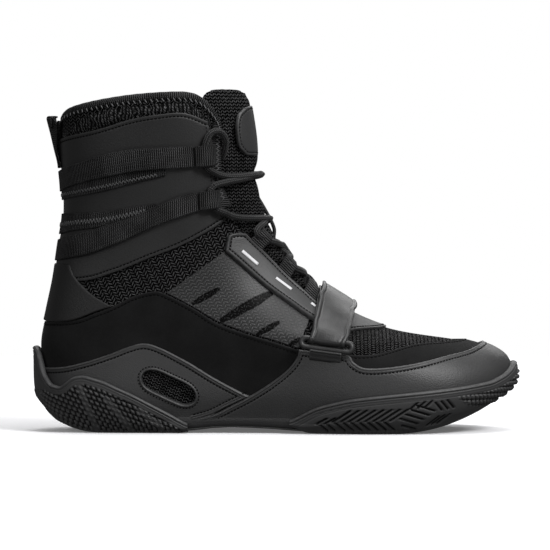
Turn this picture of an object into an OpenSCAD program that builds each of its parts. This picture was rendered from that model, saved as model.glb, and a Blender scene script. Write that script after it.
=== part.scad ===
// Lace-up boxing boot, right foot, with an instep strap. Toe along +X, up +Z, lateral side at -Y.
// The upper is a stack of thin pieces on one smooth reference surface, surf(u, v):
// u runs round the boot (0 heel centre, 1 front centre, negative on the medial side) and v runs from
// the feather edge at the sole (0) to the top (1). A piece is a patch of that surface between two offsets.

/* [Boot] */
// Length of the outsole
boot_l = 292; // [280:1:300]
// Thickness of the knitted base upper
knit_t = 1.2; // [0.8:0.1:1.2]
// Thickness of the suede, film and leather laid on the knit
overlay_t = 1.1; // [0.8:0.1:1.1]
// Gap left for the glue line between layers
glue_gap = 0.4; // [0.35:0.05:0.45]

/* [Closure] */
// Diameter of the lace
lace_d = 3.6; // [3:0.1:3.6]
// Thickness of the webbing
webbing_t = 0.9; // [0.7:0.1:0.9]
// Thickness of one layer of the instep strap
strap_t = 1.2; // [1:0.1:1.3]
// Width of the instep strap where it passes the loop
strap_w = 23; // [20:1:24]
// Thickness of the wire of the strap loop
loop_wire_d = 3.2; // [2.6:0.1:3.2]

/* [Sole] */
// Thickness of the outsole walls at the rim
cup_t = 2.4; // [2:0.1:3]
// Thickness of the midsole sheet
midsole_t = 1.8; // [1.4:0.1:1.9]
// Thickness of the removable insole
insole_t = 4; // [3:0.5:5]

/* [Hidden] */

half_l = boot_l / 2;
stretch = boot_l / 292;   // lengths below are written for a 292 mm outsole
mid_y = 0.7;              // centres the boot's box on Y

// Offsets of the layers from the reference surface
base = [-knit_t, 0];
over1 = [glue_gap, glue_gap + overlay_t];
over2 = [over1[1] + glue_gap, over1[1] + glue_gap + overlay_t + 0.1];
stiffener = [-knit_t - glue_gap - 0.9, -knit_t - glue_gap];
lining = [stiffener[0] - glue_gap - 1, stiffener[0] - glue_gap];
cup_in = over2[1] + glue_gap + 0.2;

// Side profile: back point and front point of each slice, [x from the heel, z], from the sole up
BACK = [[9, 15], [6.5, 26], [5.8, 40], [5.2, 55], [8.8, 73], [12.8, 92], [15.8, 112], [18.6, 130],
    [18.4, 148], [16.5, 170], [16, 200]];
FRONT = [[281, 26], [287, 34], [283, 45], [262, 53.5], [212, 62.5], [172, 83], [148, 110], [138, 133],
    [134.5, 155], [133, 179], [128, 210]];
// Half width of each slice at nine stations from the back point to the front point
HALF = [[0, 20, 29, 28, 30, 42, 42, 24, 0], [0, 22, 32, 32, 35, 47, 45, 25, 0],
    [0, 22, 32.5, 33, 37, 47, 41, 21, 0], [0, 21, 31.5, 33, 37.5, 43, 33, 17, 0],
    [0, 19, 29.5, 33, 36.5, 37, 31, 16, 0], [0, 17, 27, 32, 34, 32.5, 25, 14, 0],
    [0, 16, 26, 32.5, 34.5, 31.5, 23, 12, 0], [0, 15.5, 26.5, 33.5, 36, 32.5, 23.5, 12.5, 0],
    [0, 16, 28, 35.5, 38, 34, 24.5, 13, 0], [0, 17, 29.5, 37.5, 40, 36, 26, 14, 0],
    [0, 18, 31, 39, 42, 38, 27.5, 14.5, 0]];
// The foot's centreline swings to the medial side at the toe, and the feather edge follows the arch
SWING = [0, 0, -0.5, -2, -3, -1.5, 2.5, 5.5, 6.5];
SWING_FADE = [1, 1, 1, 0.9, 0.5, 0.15, 0, 0, 0, 0, 0];
BOW = [0, -3.2, -6.4, -9.3, -12, -14.6, -13.4, -6.6, 0];
BOW_FADE = [1, 0.5, 0.28, 0.1, 0, 0, 0, 0, 0, 0, 0];
slices = len(BACK) - 1;
stations = len(BOW) - 1;

// Smooth interpolation in a table, at a place counted in entries
function spline(tab, p) = let (
    n = len(tab) - 1, q = min(max(p, 0), n), i = min(floor(q), n - 1), f = q - i,
    b = tab[i], c = tab[i + 1],
    a = i > 0 ? tab[i - 1] : 2 * b - c,
    d = i + 2 <= n ? tab[i + 2] : 2 * c - b
) 0.5 * (2 * b + (c - a) * f + (2 * a - 5 * b + 4 * c - d) * f * f + (3 * b - a - 3 * c + d) * f * f * f);

function wrapped(u) = u > 1 ? u - 2 : u < -1 ? u + 2 : u;

// A point of the reference surface
function surf(u, v) = let (
    w = wrapped(u), a = abs(w), t = (1 - cos(180 * a)) / 2, p = v * slices, s = a * stations,
    b = spline(BACK, p), f = spline(FRONT, p), h = spline(spline(HALF, p), s)
) [(b.x + (f.x - b.x) * t) * stretch - half_l,
    spline(SWING, s) * spline(SWING_FADE, p) - sign(w) * h + mid_y,
    b.y + (f.y - b.y) * t + spline(BOW, s) * spline(BOW_FADE, p)];

function unit(a) = a / norm(a);
function normal(u, v, e = 0.004) = let (w = min(max(v, e), 1 - e))
    unit(cross(surf(u + e, w) - surf(u - e, w), surf(u, w + e) - surf(u, w - e)));
function offset_point(u, v, d) = surf(u, v) + normal(u, v) * d;

// Height of slice v at x, on the centre plane
function slice_z(v, x) = let (
    b = spline(BACK, v * slices), f = spline(FRONT, v * slices),
    t = (x - b.x) / (f.x - b.x), a = acos(1 - 2 * min(max(t, 0), 1)) / 180
) b.y + (f.y - b.y) * t + spline(BOW, a * stations) * spline(BOW_FADE, v * slices);
function find_v(x, z, lo = 0, hi = 1, n = 18) = let (m = (lo + hi) / 2)
    n == 0 ? m : slice_z(m, x) < z ? find_v(x, z, m, hi, n - 1) : find_v(x, z, lo, m, n - 1);
// [u, v] of the side-view point [x from the heel, z]
function uv(p) = let (
    v = find_v(p.x, p.y), b = spline(BACK, v * slices), f = spline(FRONT, v * slices),
    t = min(max((p.x - b.x) / (f.x - b.x), 0), 1)
) [acos(1 - 2 * t) / 180, v];
function uvs(points) = [for (p = points) uv(p)];
// v at which station u passes x on the way up the front of the boot
function front_v(x, u = 1, lo = 0.17, hi = 0.9, n = 16) = let (m = (lo + hi) / 2)
    n == 0 ? m : (surf(u, m).x + half_l) / stretch > x ? front_v(x, u, m, hi, n - 1)
        : front_v(x, u, lo, m, n - 1);
// Points of the crown given as [u, x]
function crown(points) = [for (p = points) [p.x, front_v(p.y, p.x)]];
// v of the wall at u, offset by d, at height z
function wall_v(u, z, d, lo = 0, hi = 0.6, n = 12) = let (m = (lo + hi) / 2)
    n == 0 ? m : offset_point(u, m, d).z < z ? wall_v(u, z, d, m, hi, n - 1)
        : wall_v(u, z, d, lo, m, n - 1);
function feather_z(u) = surf(u, 0).z;

function reverse(l) = [for (i = [len(l) - 1:-1:0]) l[i]];
function tail(l) = [for (i = [1:len(l) - 1]) l[i]];
// A lateral curve on the medial side; a curve from the heel centre, on both sides; a curve that ends at
// the front centre, carried on over it
function medial(c) = reverse([for (p = c) [-p.x, p.y]]);
function round_back(c) = concat(medial(c), tail(c));
function round_front(c) = concat(c, tail(reverse([for (p = c) [2 - p.x, p.y]])));

// Place in the patch between curve a (low) and curve b (high), with side curves c and d
function coons(a, b, c, d, r, q) = let (
    na = len(a) - 1, nb = len(b) - 1, nc = len(c) - 1, nd = len(d) - 1
) (1 - q) * spline(a, r * na) + q * spline(b, r * nb) + (1 - r) * spline(c, q * nc)
    + r * spline(d, q * nd)
    - ((1 - r) * (1 - q) * a[0] + r * (1 - q) * a[na] + (1 - r) * q * b[0] + r * q * b[nb]);

// Triangles of a slab between grid 0 (outer) and grid 1 (inner), n by m cells each
function slab_faces(n, m) = let (
    at = function (o, i, j) (o * (n + 1) + i) * (m + 1) + j
) concat(
    [for (i = [0:n - 1], j = [0:m - 1]) each [[at(0, i, j), at(0, i, j + 1), at(0, i + 1, j + 1)],
        [at(0, i, j), at(0, i + 1, j + 1), at(0, i + 1, j)],
        [at(1, i, j), at(1, i + 1, j + 1), at(1, i, j + 1)],
        [at(1, i, j), at(1, i + 1, j), at(1, i + 1, j + 1)]]],
    [for (i = [0:n - 1]) each [[at(0, i, 0), at(0, i + 1, 0), at(1, i + 1, 0)],
        [at(0, i, 0), at(1, i + 1, 0), at(1, i, 0)],
        [at(0, i + 1, m), at(0, i, m), at(1, i, m)],
        [at(0, i + 1, m), at(1, i, m), at(1, i + 1, m)]]],
    [for (j = [0:m - 1]) each [[at(0, 0, j + 1), at(0, 0, j), at(1, 0, j)],
        [at(0, 0, j + 1), at(1, 0, j), at(1, 0, j + 1)],
        [at(0, n, j), at(0, n, j + 1), at(1, n, j + 1)],
        [at(0, n, j), at(1, n, j + 1), at(1, n, j)]]]);

// A slab of the reference surface. layer = [inner offset, outer offset]; lift adds an offset along the patch
module patch(a, b, layer, n, m, c = undef, d = undef, lift = [0, 0]) {
    left = is_undef(c) ? [a[0], b[0]] : c;
    right = is_undef(d) ? [a[len(a) - 1], b[len(b) - 1]] : d;
    grid = [for (i = [0:n], j = [0:m]) let (p = coons(a, b, left, right, i / n, j / m))
        [surf(p.x, p.y), normal(p.x, p.y), spline(lift, i / n * (len(lift) - 1))]];
    outer = [for (g = grid) g[0] + g[1] * (layer[1] + g[2])];
    inner = [for (g = grid) g[0] + g[1] * (layer[0] + g[2])];
    polyhedron(concat(outer, inner), slab_faces(n, m), convexity = 6);
}

// A sheet across the boot from u0 to u1, with its edge at offset d, from z0 to z1 above the feather edge
module floor_sheet(u0, u1, d, z0, z1, n = 26, m = 4) {
    edge = function (u) offset_point(u, 0, d);
    row = function (i, z) let (u = u0 + (u1 - u0) * i / n, l = edge(u), r = edge(-u))
        [for (k = [0:m]) let (p = l + (r - l) * k / m) [p.x, p.y, feather_z(u) + z]];
    top = [for (i = [0:n]) each row(i, z1)];
    under = [for (i = [0:n]) each row(i, z0)];
    polyhedron(concat(top, under), slab_faces(n, m), convexity = 4);
}

// A round cord through points of [u, v, d]
module cord(path, diameter, steps, sides = 8) {
    n = (len(path) - 1) * steps;
    at = [for (i = [0:n]) let (p = spline(path, i / steps)) offset_point(p[0], p[1], p[2])];
    out = [for (i = [0:n]) let (p = spline(path, i / steps)) normal(p[0], p[1])];
    rings = [for (i = [0:n]) let (
        t = unit(at[min(i + 1, n)] - at[max(i - 1, 0)]),
        s = unit(cross(t, out[i])), o = cross(s, t)
    ) each [for (k = [0:sides - 1]) let (g = 360 * k / sides)
            at[i] + (s * cos(g) + o * sin(g)) * diameter / 2]];
    faces = concat(
        [[for (k = [sides - 1:-1:0]) k], [for (k = [0:sides - 1]) n * sides + k]],
        [for (i = [0:n - 1], k = [0:sides - 1]) let (
            p = i * sides + k, q = i * sides + (k + 1) % sides
        ) each [[p, q + sides, p + sides], [p, q, q + sides]]]);
    polyhedron(rings, faces, convexity = 10);
}

// ---- Outlines, in the side view: [x from the heel, z], lateral side ----
FEATHER = 0.0001;
function feather_line(u0, u1) = [[u0, FEATHER], [(u0 + u1) / 2, FEATHER], [u1, FEATHER]];
vamp_seam = uvs([[152, 9], [158, 26], [163, 44], [168, 60], [173, 74]]);
throat_low = uvs([[173, 74], [163, 84], [151, 96], [139, 108], [126, 121], [114, 134]]);
throat_high = uvs([[114, 134], [110.5, 144], [109, 156], [108.7, 168], [110, 178], [108.3, 185.3]]);
ankle_edge = uvs([[0, 95], [29, 95.5], [49, 101], [70, 109.5], [91, 118], [114, 134]]);
binding_line = uvs([[16, 188], [21, 192.7], [36, 196.7], [58, 200.2], [80, 202], [94, 202], [101.5, 199.2],
    [107.5, 193.3], [111.3, 187], [112.6, 181.5]]);
collar_top = uvs([[16, 185.2], [21, 190], [36, 194], [58, 197.5], [80, 199.3], [94, 198.9], [100.4, 195.6],
    [108.3, 185.3]]);
suede_top = uvs([[0, 66], [23, 67], [38.8, 72.2], [48.2, 75.9], [59.6, 81.6], [70.1, 84.7],
    [78.5, 84.2], [96.3, 75.3], [111.9, 65.9], [135.9, 57.8], [162, 49.6]]);
overlay_top = uvs([[0, 39], [17.1, 39.2], [32.2, 42.7], [47.3, 47.7], [57.4, 51.7], [67.4, 54],
    [77.5, 51.2], [92.6, 43.7], [107.7, 34.6], [122.8, 26.6], [130.5, 23]]);
guard_rear = uvs([[99, 8.6], [109, 12], [119, 17], [131.5, 23.5], [143.5, 31], [155.4, 41], [160.2, 50.8]]);
guard_top = concat(uvs([[160.2, 50.8], [173, 49], [188.8, 46.7], [192.5, 43], [199, 39.6], [212, 39.4],
    [230, 41.2], [247, 44.4]]), crown([[0.84, 260], [0.89, 266], [0.945, 269.5], [1, 270.5]]));
toe_mesh_edge = concat(uvs([[188, 47.3], [202.5, 47], [212.9, 48.7], [223.3, 51.2]]),
    crown([[0.785, 233], [0.83, 243], [0.88, 251.5], [0.94, 257.8], [1, 260]]));

// ---- Sole ----
// Ground line of the outsole at x from the heel: a bevel behind, the arch, and the toe spring
function ground_z(x) = x < 40 ? 14.8 * pow((40 - x) / 40, 2)
    : x < 120 ? 5 * pow(max(x - 88, 0) / 12, 2)
    : x < 215 ? 4 * pow(max(160 - x, 0) / 12, 2) : 0.0042 * pow(x - 215, 2);
function on_wall(u, z, d) = let (p = offset_point(u, wall_v(u, z, d), d)) [p.x, p.y, z];

// A cup with walls and floor. rim = [[u, z], ...] from the closed end of the cup to its open end
module sole_cup(rim, n, closed_u) {
    us = [for (i = [0:n]) rim[0].x + (rim[len(rim) - 1].x - rim[0].x) * i / n];
    cols = closed_u == 0 ? concat([for (i = [n:-1:1]) -us[i]], us)
        : concat([for (i = [n:-1:0]) us[i]], [for (i = [1:n]) 2 - us[i]]);
    rim_at = function (u) let (a = abs(wrapped(u))) lookup(a, rim);
    ground = function (u) let (s = surf(u, 0)) ground_z((s.x + half_l) / stretch);
    flare = [[0, -1.5], [0.1, 2.2], [0.3, cup_in + 2.6], [0.65, cup_in + cup_t + 0.8], [1, cup_in + cup_t]];
    inner_s = [1, 0.6, 0.25, 0];
    floor_z = function (u) feather_z(u) - midsole_t - 2 * glue_gap - 0.2;
    column = function (u) let (top = rim_at(u), g = ground(u), f = min(floor_z(u), top - 1))
        concat([for (k = flare) on_wall(u, g + (top - g) * k[0], k[1])],
            [for (s = inner_s) on_wall(u, f + (top - f) * s, cup_in)]);
    rows = len(flare) + len(inner_s);
    c = len(cols);
    points = [for (u = cols) each column(u)];
    at = function (j, k) j * rows + k;
    walls = [for (j = [0:c - 2], k = [0:rows - 2]) each [[at(j, k), at(j, k + 1), at(j + 1, k + 1)],
        [at(j, k), at(j + 1, k + 1), at(j + 1, k)]]];
    // the floor joins the columns of the two sides, on the ground and inside
    mirror_of = function (j) c - 1 - j;
    floors = [for (j = [0:n - 1]) each (let (a = at(j, 0), b = at(j + 1, 0), x = at(mirror_of(j), 0),
        y = at(mirror_of(j + 1), 0), p = at(j, rows - 1), q = at(j + 1, rows - 1),
        r = at(mirror_of(j), rows - 1), s = at(mirror_of(j + 1), rows - 1))
        concat(b == y ? [[a, b, x]] : [[a, b, y], [a, y, x]],
            q == s ? [[p, r, q]] : [[p, s, q], [p, r, s]]))];
    e = c - 1;
    half_rows = floor(rows / 2);
    ends = concat(
        [for (k = [0:half_rows - 1]) each [
            [at(0, k), at(0, rows - 1 - k), at(0, k + 1)],
            [at(0, k + 1), at(0, rows - 1 - k), at(0, rows - 2 - k)],
            [at(e, k), at(e, k + 1), at(e, rows - 1 - k)],
            [at(e, k + 1), at(e, rows - 2 - k), at(e, rows - 1 - k)]]],
        [[at(0, 0), at(e, 0), at(0, rows - 1)], [at(e, 0), at(e, rows - 1), at(0, rows - 1)]]);
    flat = [for (f = concat(walls, floors, ends)) if (f[0] != f[1] && f[1] != f[2] && f[0] != f[2]) f];
    polyhedron(points, flat, convexity = 10);
}

module heel_outsole() {
    color([0.16, 0.16, 0.16]) sole_cup([[0, 50.5], [0.03, 50.5], [0.06, 48], [0.08, 36], [0.11, 28.5],
        [0.14, 27], [0.175, 33.5], [0.2, 34.4], [0.24, 31], [0.29, 23], [0.35, 12], [0.376, 6.2]], 22, 0);
}
module forefoot_outsole() {
    color([0.16, 0.16, 0.16]) sole_cup([[1, 41.5], [0.96, 40.5], [0.9, 34.5], [0.852, 30.6],
        [0.784, 28], [0.726, 25.9], [0.678, 24.2], [0.633, 22.4], [0.602, 20.7], [0.572, 18],
        [0.552, 15.8], [0.525, 11]], 27, 1);
}
module midsole() {
    color([0.1, 0.1, 0.1])
        floor_sheet(0.05, 0.95, -0.6, -midsole_t - glue_gap, -glue_gap, 24, 2);
}
module insole_board() {
    color([0.6, 0.55, 0.45]) floor_sheet(0.06, 0.94, base[0] - glue_gap - 0.1, 0.2, 1.8, 22, 2);
}
module sockliner() {
    color([0.25, 0.25, 0.27]) floor_sheet(0.08, 0.92, lining[0] - 0.6, 2.3, 2.3 + insole_t, 22, 2);
}

// ---- Inside of the upper ----
module heel_counter() {
    low = concat([[0, 0.03]], [for (u = [0.08:0.08:0.32]) [u, 0.03]]);
    high = uvs([[0, 62], [22, 60], [40, 54], [60, 44], [78, 34]]);
    color([0.75, 0.72, 0.65]) patch(round_back(low), round_back(high), stiffener, 26, 3);
}
module toe_puff() {
    low = concat([for (u = [0.8:0.06:0.98]) [u, 0.04]], [[1, 0.04]]);
    high = concat(uvs([[240, 40], [250, 42.5]]), crown([[0.92, 262], [1, 266]]));
    color([0.75, 0.72, 0.65]) patch(round_front(low), round_front(high), stiffener, 26, 3);
}
module rear_lining() {
    low = [for (u = [0:0.13:0.52]) [u, 0.022]];
    seam = concat([[0.52, 0.022]], tail(vamp_seam), tail(throat_low), tail(throat_high));
    color([0.2, 0.2, 0.2]) patch(round_back(low), round_back(collar_top), lining, 30, 13,
        medial_side(seam), seam);
}
// The side curve of the medial end of a patch that goes round the back
function medial_side(c) = [for (p = c) [-p.x, p.y]];
function over_front_side(c) = [for (p = c) [2 - p.x, p.y]];
module vamp_lining() {
    low = [for (u = [0.53:0.0783:1.001]) [u, 0.025]];
    high = concat(uvs([[174.5, 73]]), crown([[0.86, 184], [0.93, 188], [1, 190]]));
    seam = concat([[0.53, 0.025]], uvs([[160, 26], [165, 44], [170, 60], [174.5, 73]]));
    color([0.2, 0.2, 0.2]) patch(round_front(low), round_front(high), lining, 22, 7, seam,
        over_front_side(seam));
}
module collar_foam() {
    low = uvs([[0, 150], [21, 152], [42, 155], [62, 158], [84, 160], [104, 162]]);
    high = uvs([[0, 182], [21, 187], [38, 191], [58, 194], [78, 195.5], [99, 193]]);
    color([0.8, 0.75, 0.4]) patch(round_back(low), round_back(high), stiffener, 26, 2);
}

// ---- Knitted base ----
module vamp_mesh() {
    low = [for (u = [0.53:0.0783:1.001]) [u, FEATHER]];
    high = concat(uvs([[174.5, 73]]), crown([[0.86, 184], [0.93, 188], [1, 190]]));
    seam = concat([[0.53, FEATHER]], uvs([[160, 26], [165, 44], [170, 60], [174.5, 73]]));
    color([0.12, 0.12, 0.12]) patch(round_front(low), round_front(high), base, 24, 8, seam,
        over_front_side(seam));
}
module quarter_mesh(side) {
    low = [for (u = [0.002:0.0863:0.52]) [u, FEATHER]];
    seam = concat([[low[len(low) - 1].x, FEATHER]], tail(vamp_seam), tail(throat_low));
    back = [[0.002, FEATHER], [0.002, find_v(0, 50)], [0.002, ankle_edge[0].y]];
    high = concat([[0.002, ankle_edge[0].y]], tail(ankle_edge));
    color([0.12, 0.12, 0.12])
        if (side > 0) patch(low, high, base, 18, 12, back, seam);
        else patch(medial(low), medial(high), base, 18, 12, medial_side(seam), medial_side(back));
}
module quarter_mesh_lateral() quarter_mesh(1);
module quarter_mesh_medial() quarter_mesh(-1);
module cuff_knit() {
    low = [for (p = ankle_edge) [p.x, p.y + 0.004]];
    side = [for (p = throat_high) [p.x, p.y + 0.004 * (1 - p.y)]];
    color([0.14, 0.14, 0.14]) patch(round_back(low), round_back(collar_top), base, 32, 6,
        medial_side(side), side);
}
module collar_binding() {
    color([0.1, 0.1, 0.1]) cord([for (p = round_back(binding_line)) [p.x, p.y, -1.7]], 4.4, 2);
}

// ---- First overlay ----
module suede_panel() {
    low = uvs([[0, 36], [17.1, 36.2], [32.2, 39.5], [47.3, 44.5], [57.4, 48.5], [67.4, 50.6], [77.5, 48],
        [92.6, 40.5], [107.7, 31.4], [122.8, 23.2], [134, 21.5]]);
    right = uvs([[134, 21.5], [145.5, 29.5], [157, 39.5], [162, 49.6]]);
    color([0.07, 0.07, 0.07]) patch(round_back(low), round_back(suede_top), over1, 44, 5,
        medial_side(right), right);
}
module ankle_leather() {
    high = uvs([[0, 176], [21, 178], [38.8, 182], [59.7, 188.2], [75.3, 191], [91, 192], [105, 187]]);
    right = uvs([[116, 128], [110.5, 141], [108.5, 156], [108, 172], [105, 187]]);
    low = uvs([[0, 91], [29, 91], [49, 96.5], [70, 105], [91, 113.5], [116, 128]]);
    color([0.15, 0.15, 0.15]) patch(round_back(low), round_back(high), over1, 34, 6,
        medial_side(right), right);
}
module film_overlay(side) {
    low = uvs([[80.5, 84.5], [97, 75.9], [112.4, 66.9], [136.4, 58.8], [159.4, 51.6]]);
    high = uvs([[115.1, 109], [127, 99.5], [139, 89], [153, 78.6], [166, 69.5]]);
    right = uvs([[159.4, 51.6], [163, 60], [166, 69.5]]);
    left = uvs([[80.5, 84.5], [98, 96.5], [115.1, 109]]);
    color([0.28, 0.28, 0.28])
        if (side > 0) patch(low, high, over1, 12, 5, left, right);
        else patch(medial(low), medial(high), over1, 12, 5, medial_side(right), medial_side(left));
}
module film_overlay_lateral() film_overlay(1);
module film_overlay_medial() film_overlay(-1);
module vent_mesh(side) {
    low = uvs([[62, 31.5], [80, 21], [98, 14]]);
    high = uvs([[66, 45], [84, 37.5], [102, 26]]);
    color([0.1, 0.1, 0.1])
        if (side > 0) patch(low, high, over1, 6, 3);
        else patch(medial(low), medial(high), over1, 6, 3);
}
module vent_mesh_lateral() vent_mesh(1);
module vent_mesh_medial() vent_mesh(-1);
module toe_suede() {
    low = concat(uvs([[190, 41.5], [199, 37.3], [212, 37], [230, 38.8], [247, 42]]),
        crown([[0.84, 263], [0.89, 269], [0.945, 272.3], [1, 273.3]]));
    color([0.07, 0.07, 0.07]) patch(round_front(low), round_front(toe_mesh_edge), over1, 38, 2);
}
module vamp_gusset() {
    low = concat(uvs([[182, 56.5], [190, 60.3], [197, 61.6]]), crown([[0.9, 209.5], [0.95, 212.2], [1, 213]]));
    high = concat(uvs([[174.5, 65], [177, 70]]), crown([[0.88, 184], [1, 188]]));
    color([0.2, 0.2, 0.2]) patch(round_front(low), round_front(high), over1, 16, 3);
}

// ---- Second overlay ----
module heel_overlay() {
    low = concat([for (u = [0:0.05:0.4]) [u, 0.004]], [[uv([97.5, 8.5]).x, 0.004]]);
    right = uvs([[97.5, 8.5], [107.7, 12.2], [117.8, 17.2], [130.5, 23]]);
    window = [82, 28];        // centre of the oval window in the side view
    window_l = 35;
    window_h = 13;
    color([0.22, 0.22, 0.22]) difference() {
        patch(round_back(low), round_back(overlay_top), over2, 40, 4, medial_side(right), right);
        translate([window.x * stretch - half_l, 0, window.y]) rotate([90, 24, 0])
            linear_extrude(height = 120, center = true) offset(r = window_h * 0.49) offset(delta = -window_h * 0.49)
                square([window_l, window_h], center = true);
    }
}
module mudguard() {
    u0 = guard_rear[0].x;
    low = concat([for (k = [0:7]) [u0 + (1 - u0) * k / 8, 0.002]], [[1, 0.002]]);
    rear = concat([[u0, 0.002]], tail(guard_rear));
    color([0.2, 0.2, 0.2]) patch(round_front(low), round_front(guard_top), over2, 52, 5, rear,
        over_front_side(rear));
}
module heel_cap() {
    low = uvs([[0, 66.5], [14, 66.3], [25, 67.6], [38, 72.6], [48, 76]]);
    high = uvs([[0, 101], [15.5, 101], [18, 101], [20.5, 101], [22.8, 101]]);
    right = uvs([[48, 76], [37, 82.2], [29.5, 89], [25, 95], [22.8, 101]]);
    color([0.17, 0.17, 0.17]) patch(round_back(low), round_back(high), over2, 18, 5,
        medial_side(right), right);
}
eyestay_low = uvs([[115.6, 109], [126.9, 99], [138.6, 88.5], [152.4, 78.2], [164, 70], [173, 64.5]]);
eyestay_high = uvs([[127, 119.2], [139, 106.6], [150, 95], [161, 84.6], [167, 79], [176, 71.5]]);
module eyestay(side) {
    left = uvs([[115.6, 109], [116.5, 119], [127, 119.2]]);
    color([0.2, 0.2, 0.2])
        if (side > 0) patch(eyestay_low, eyestay_high, over2, 14, 4);
        else patch(medial_side(eyestay_high), medial_side(eyestay_low), over2, 14, 4);
}
module eyestay_lateral() eyestay(1);
module eyestay_medial() eyestay(-1);

// Place on the eyestay: r along it from the top, q across it towards the throat
function on_eyestay(r, q) = coons(eyestay_low, eyestay_high, [eyestay_low[0], eyestay_high[0]],
    [eyestay_low[5], eyestay_high[5]], r, q);
module eyestay_piece(side, r0, r1, q0, q1, layer, lift = [0, 0], n = 3) {
    low = [for (r = [r0, (r0 + r1) / 2, r1]) on_eyestay(r, q0)];
    high = [for (r = [r0, (r0 + r1) / 2, r1]) on_eyestay(r, q1)];
    if (side > 0) patch(low, high, layer, n, 2, lift = lift);
    else patch(medial_side(high), medial_side(low), layer, n, 2, lift = lift);
}
module reflective_dashes() {
    layer = [over2[1] + 0.25, over2[1] + 0.5];
    color([0.85, 0.85, 0.86]) for (side = [1, -1], r = [0.2, 0.45, 0.72])
        eyestay_piece(side, r, r + 0.11, 0.44, 0.56, layer);
}

// ---- Ankle straps and lacing ----
tape = [over1[1] + glue_gap, over1[1] + glue_gap + webbing_t];
tape2 = [tape[1] + glue_gap, tape[1] + glue_gap + webbing_t];
module backing_strip(low, high) color([0.1, 0.1, 0.1])
    patch(round_back(uvs(low)), round_back(uvs(high)), tape, 28, 1);
module strap_backing_lower()
    backing_strip([[0, 118.5], [28, 121.5], [44, 124], [60, 128], [74, 132]],
        [[0, 131.3], [28, 132], [44, 133.2], [60, 136], [74, 138]]);
module strap_backing_upper()
    backing_strip([[0, 139.6], [28, 142], [44, 145.3], [60, 149.5], [80, 154.5]],
        [[0, 151], [28, 154], [44, 156.5], [60, 159], [80, 160.5]]);
// The webbing rises over the lace near its front end, and is stitched down again in front of it
hump = [0, 2.6, 3, -1.2];
flat_run = [for (i = [0:32]) 0];
module ankle_strap(low, high) color([0.13, 0.13, 0.13])
    patch(round_back(uvs(low)), round_back(uvs(high)), tape2, 46, 1,
        lift = concat(reverse(hump), flat_run, hump));
module ankle_strap_lower()
    ankle_strap([[0, 102.6], [28.3, 105.6], [44, 110.8], [59.7, 117.6], [75.4, 125], [91, 130.7], [102, 133.8],
        [111.5, 134.9]],
        [[0, 115.4], [28.3, 119.2], [44, 124.4], [59.7, 129.7], [75.4, 137], [91, 143.3], [100, 145],
        [110.5, 146.4]]);
module ankle_strap_upper()
    ankle_strap([[0, 144.8], [28.3, 149.5], [44, 153.7], [59.7, 156.8], [75.4, 158.4], [90, 159.2], [100, 160],
        [108.5, 161]],
        [[0, 157.4], [28.3, 162], [44, 167.3], [59.7, 170.4], [75.4, 171.5], [90, 172.2], [99, 172.6],
        [108, 173]]);
// Webbing loops that leave the eyestay's inner edge, and wrap the lace
loop_rs = [0.06, 0.37, 0.68];
module eyestay_loops() {
    layer = [over2[1] + glue_gap, over2[1] + glue_gap + webbing_t];
    color([0.13, 0.13, 0.13]) for (side = [1, -1], r = loop_rs) {
        low = [for (k = [0, 0.07, 0.14]) on_eyestay(r + k, 0.66)];
        high = [for (k = [0, 0.07, 0.14]) on_eyestay(r + k, 1.55)];
        across = [0, 0.5, 1, 1.2, 1, -0.3] * (lace_d + 0.9);
        cross_patch(side > 0 ? low : medial_side(low), side > 0 ? high : medial_side(high), layer, 10, 2,
            across, side);
    }
}
// A band that runs from curve a to curve b with the given lift, n cells long and m cells wide
module cross_patch(a, b, layer, n, m, lift, side) {
    rows_a = [for (i = [0:n]) a[0] + (b[0] - a[0]) * i / n];
    rows_b = [for (i = [0:n]) a[2] + (b[2] - a[2]) * i / n];
    if (side > 0) patch(rows_b, rows_a, layer, n, m, lift = lift);
    else patch(reverse(rows_b), reverse(rows_a), layer, n, m, lift = reverse(lift));
}

// One lace, criss-crossed through the loops. Half of it as [x from the heel, z, offset]; the other half is
// its mirror image, and where the halves meet over the tongue one passes above the other
lace_under = lace_d / 2 + 0.5;
lace_over = lace_under + lace_d + 0.4;
in_tape = over1[1] + 0.4 + lace_d / 2;
in_loop = over2[1] + lace_d / 2 + 0.6;
// Strands of the lace between two crossings: [points on one side, height of the crossing after them]
lace_runs = [
    [[[109.5, 178, 3.4], [106, 181, 4.4], [103, 176.5, in_tape + 0.3], [102, 170, in_tape],
        [102.5, 163, in_tape], [106, 157, in_tape], [118, 152, 4]], 152],
    [[[114, 150.5, 4], [106, 146.8, in_tape], [105.5, 141, in_tape], [107.5, 135.5, in_tape],
        [113, 131, 5], [126, 129.5, 3.4]], 131],
    [[[136, 124.5, 3.2], [131.5, 119.5, in_loop], [136.5, 114.5, in_loop], [146, 111.5, 3.6]], 110.5],
    [[[150, 106, 3.4], [146.5, 103.3, in_loop], [151.5, 98, in_loop], [160, 94.5, 3.4]], 92.5],
    [[[165, 87.5, 3.2], [166.5, 85.2, 3.4]], 85]];
function lace_side(points, side) = [for (p = points) let (c = uv([p[0], p[1]]))
    [side > 0 ? c.x : 2 - c.x, c.y, p[2]]];
function crossing(k, over) = let (x = front_x(lace_runs[k][1]))
    [1, front_v(x), k % 2 == over ? lace_over : lace_under];
function front_x(z, lo = 0.3, hi = 0.95, n = 14) = let (m = (lo + hi) / 2)
    n == 0 ? spline(FRONT, m * slices).x
        : spline(FRONT, m * slices).y < z ? front_x(z, m, hi, n - 1) : front_x(z, lo, m, n - 1);
function lace_half(start, over) = [for (k = [0:len(lace_runs) - 1]) each concat(
    lace_side(lace_runs[k][0], (k % 2 == 0 ? 1 : -1) * start),
    k < len(lace_runs) - 1 ? [crossing(k, over)] : [])];
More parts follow.
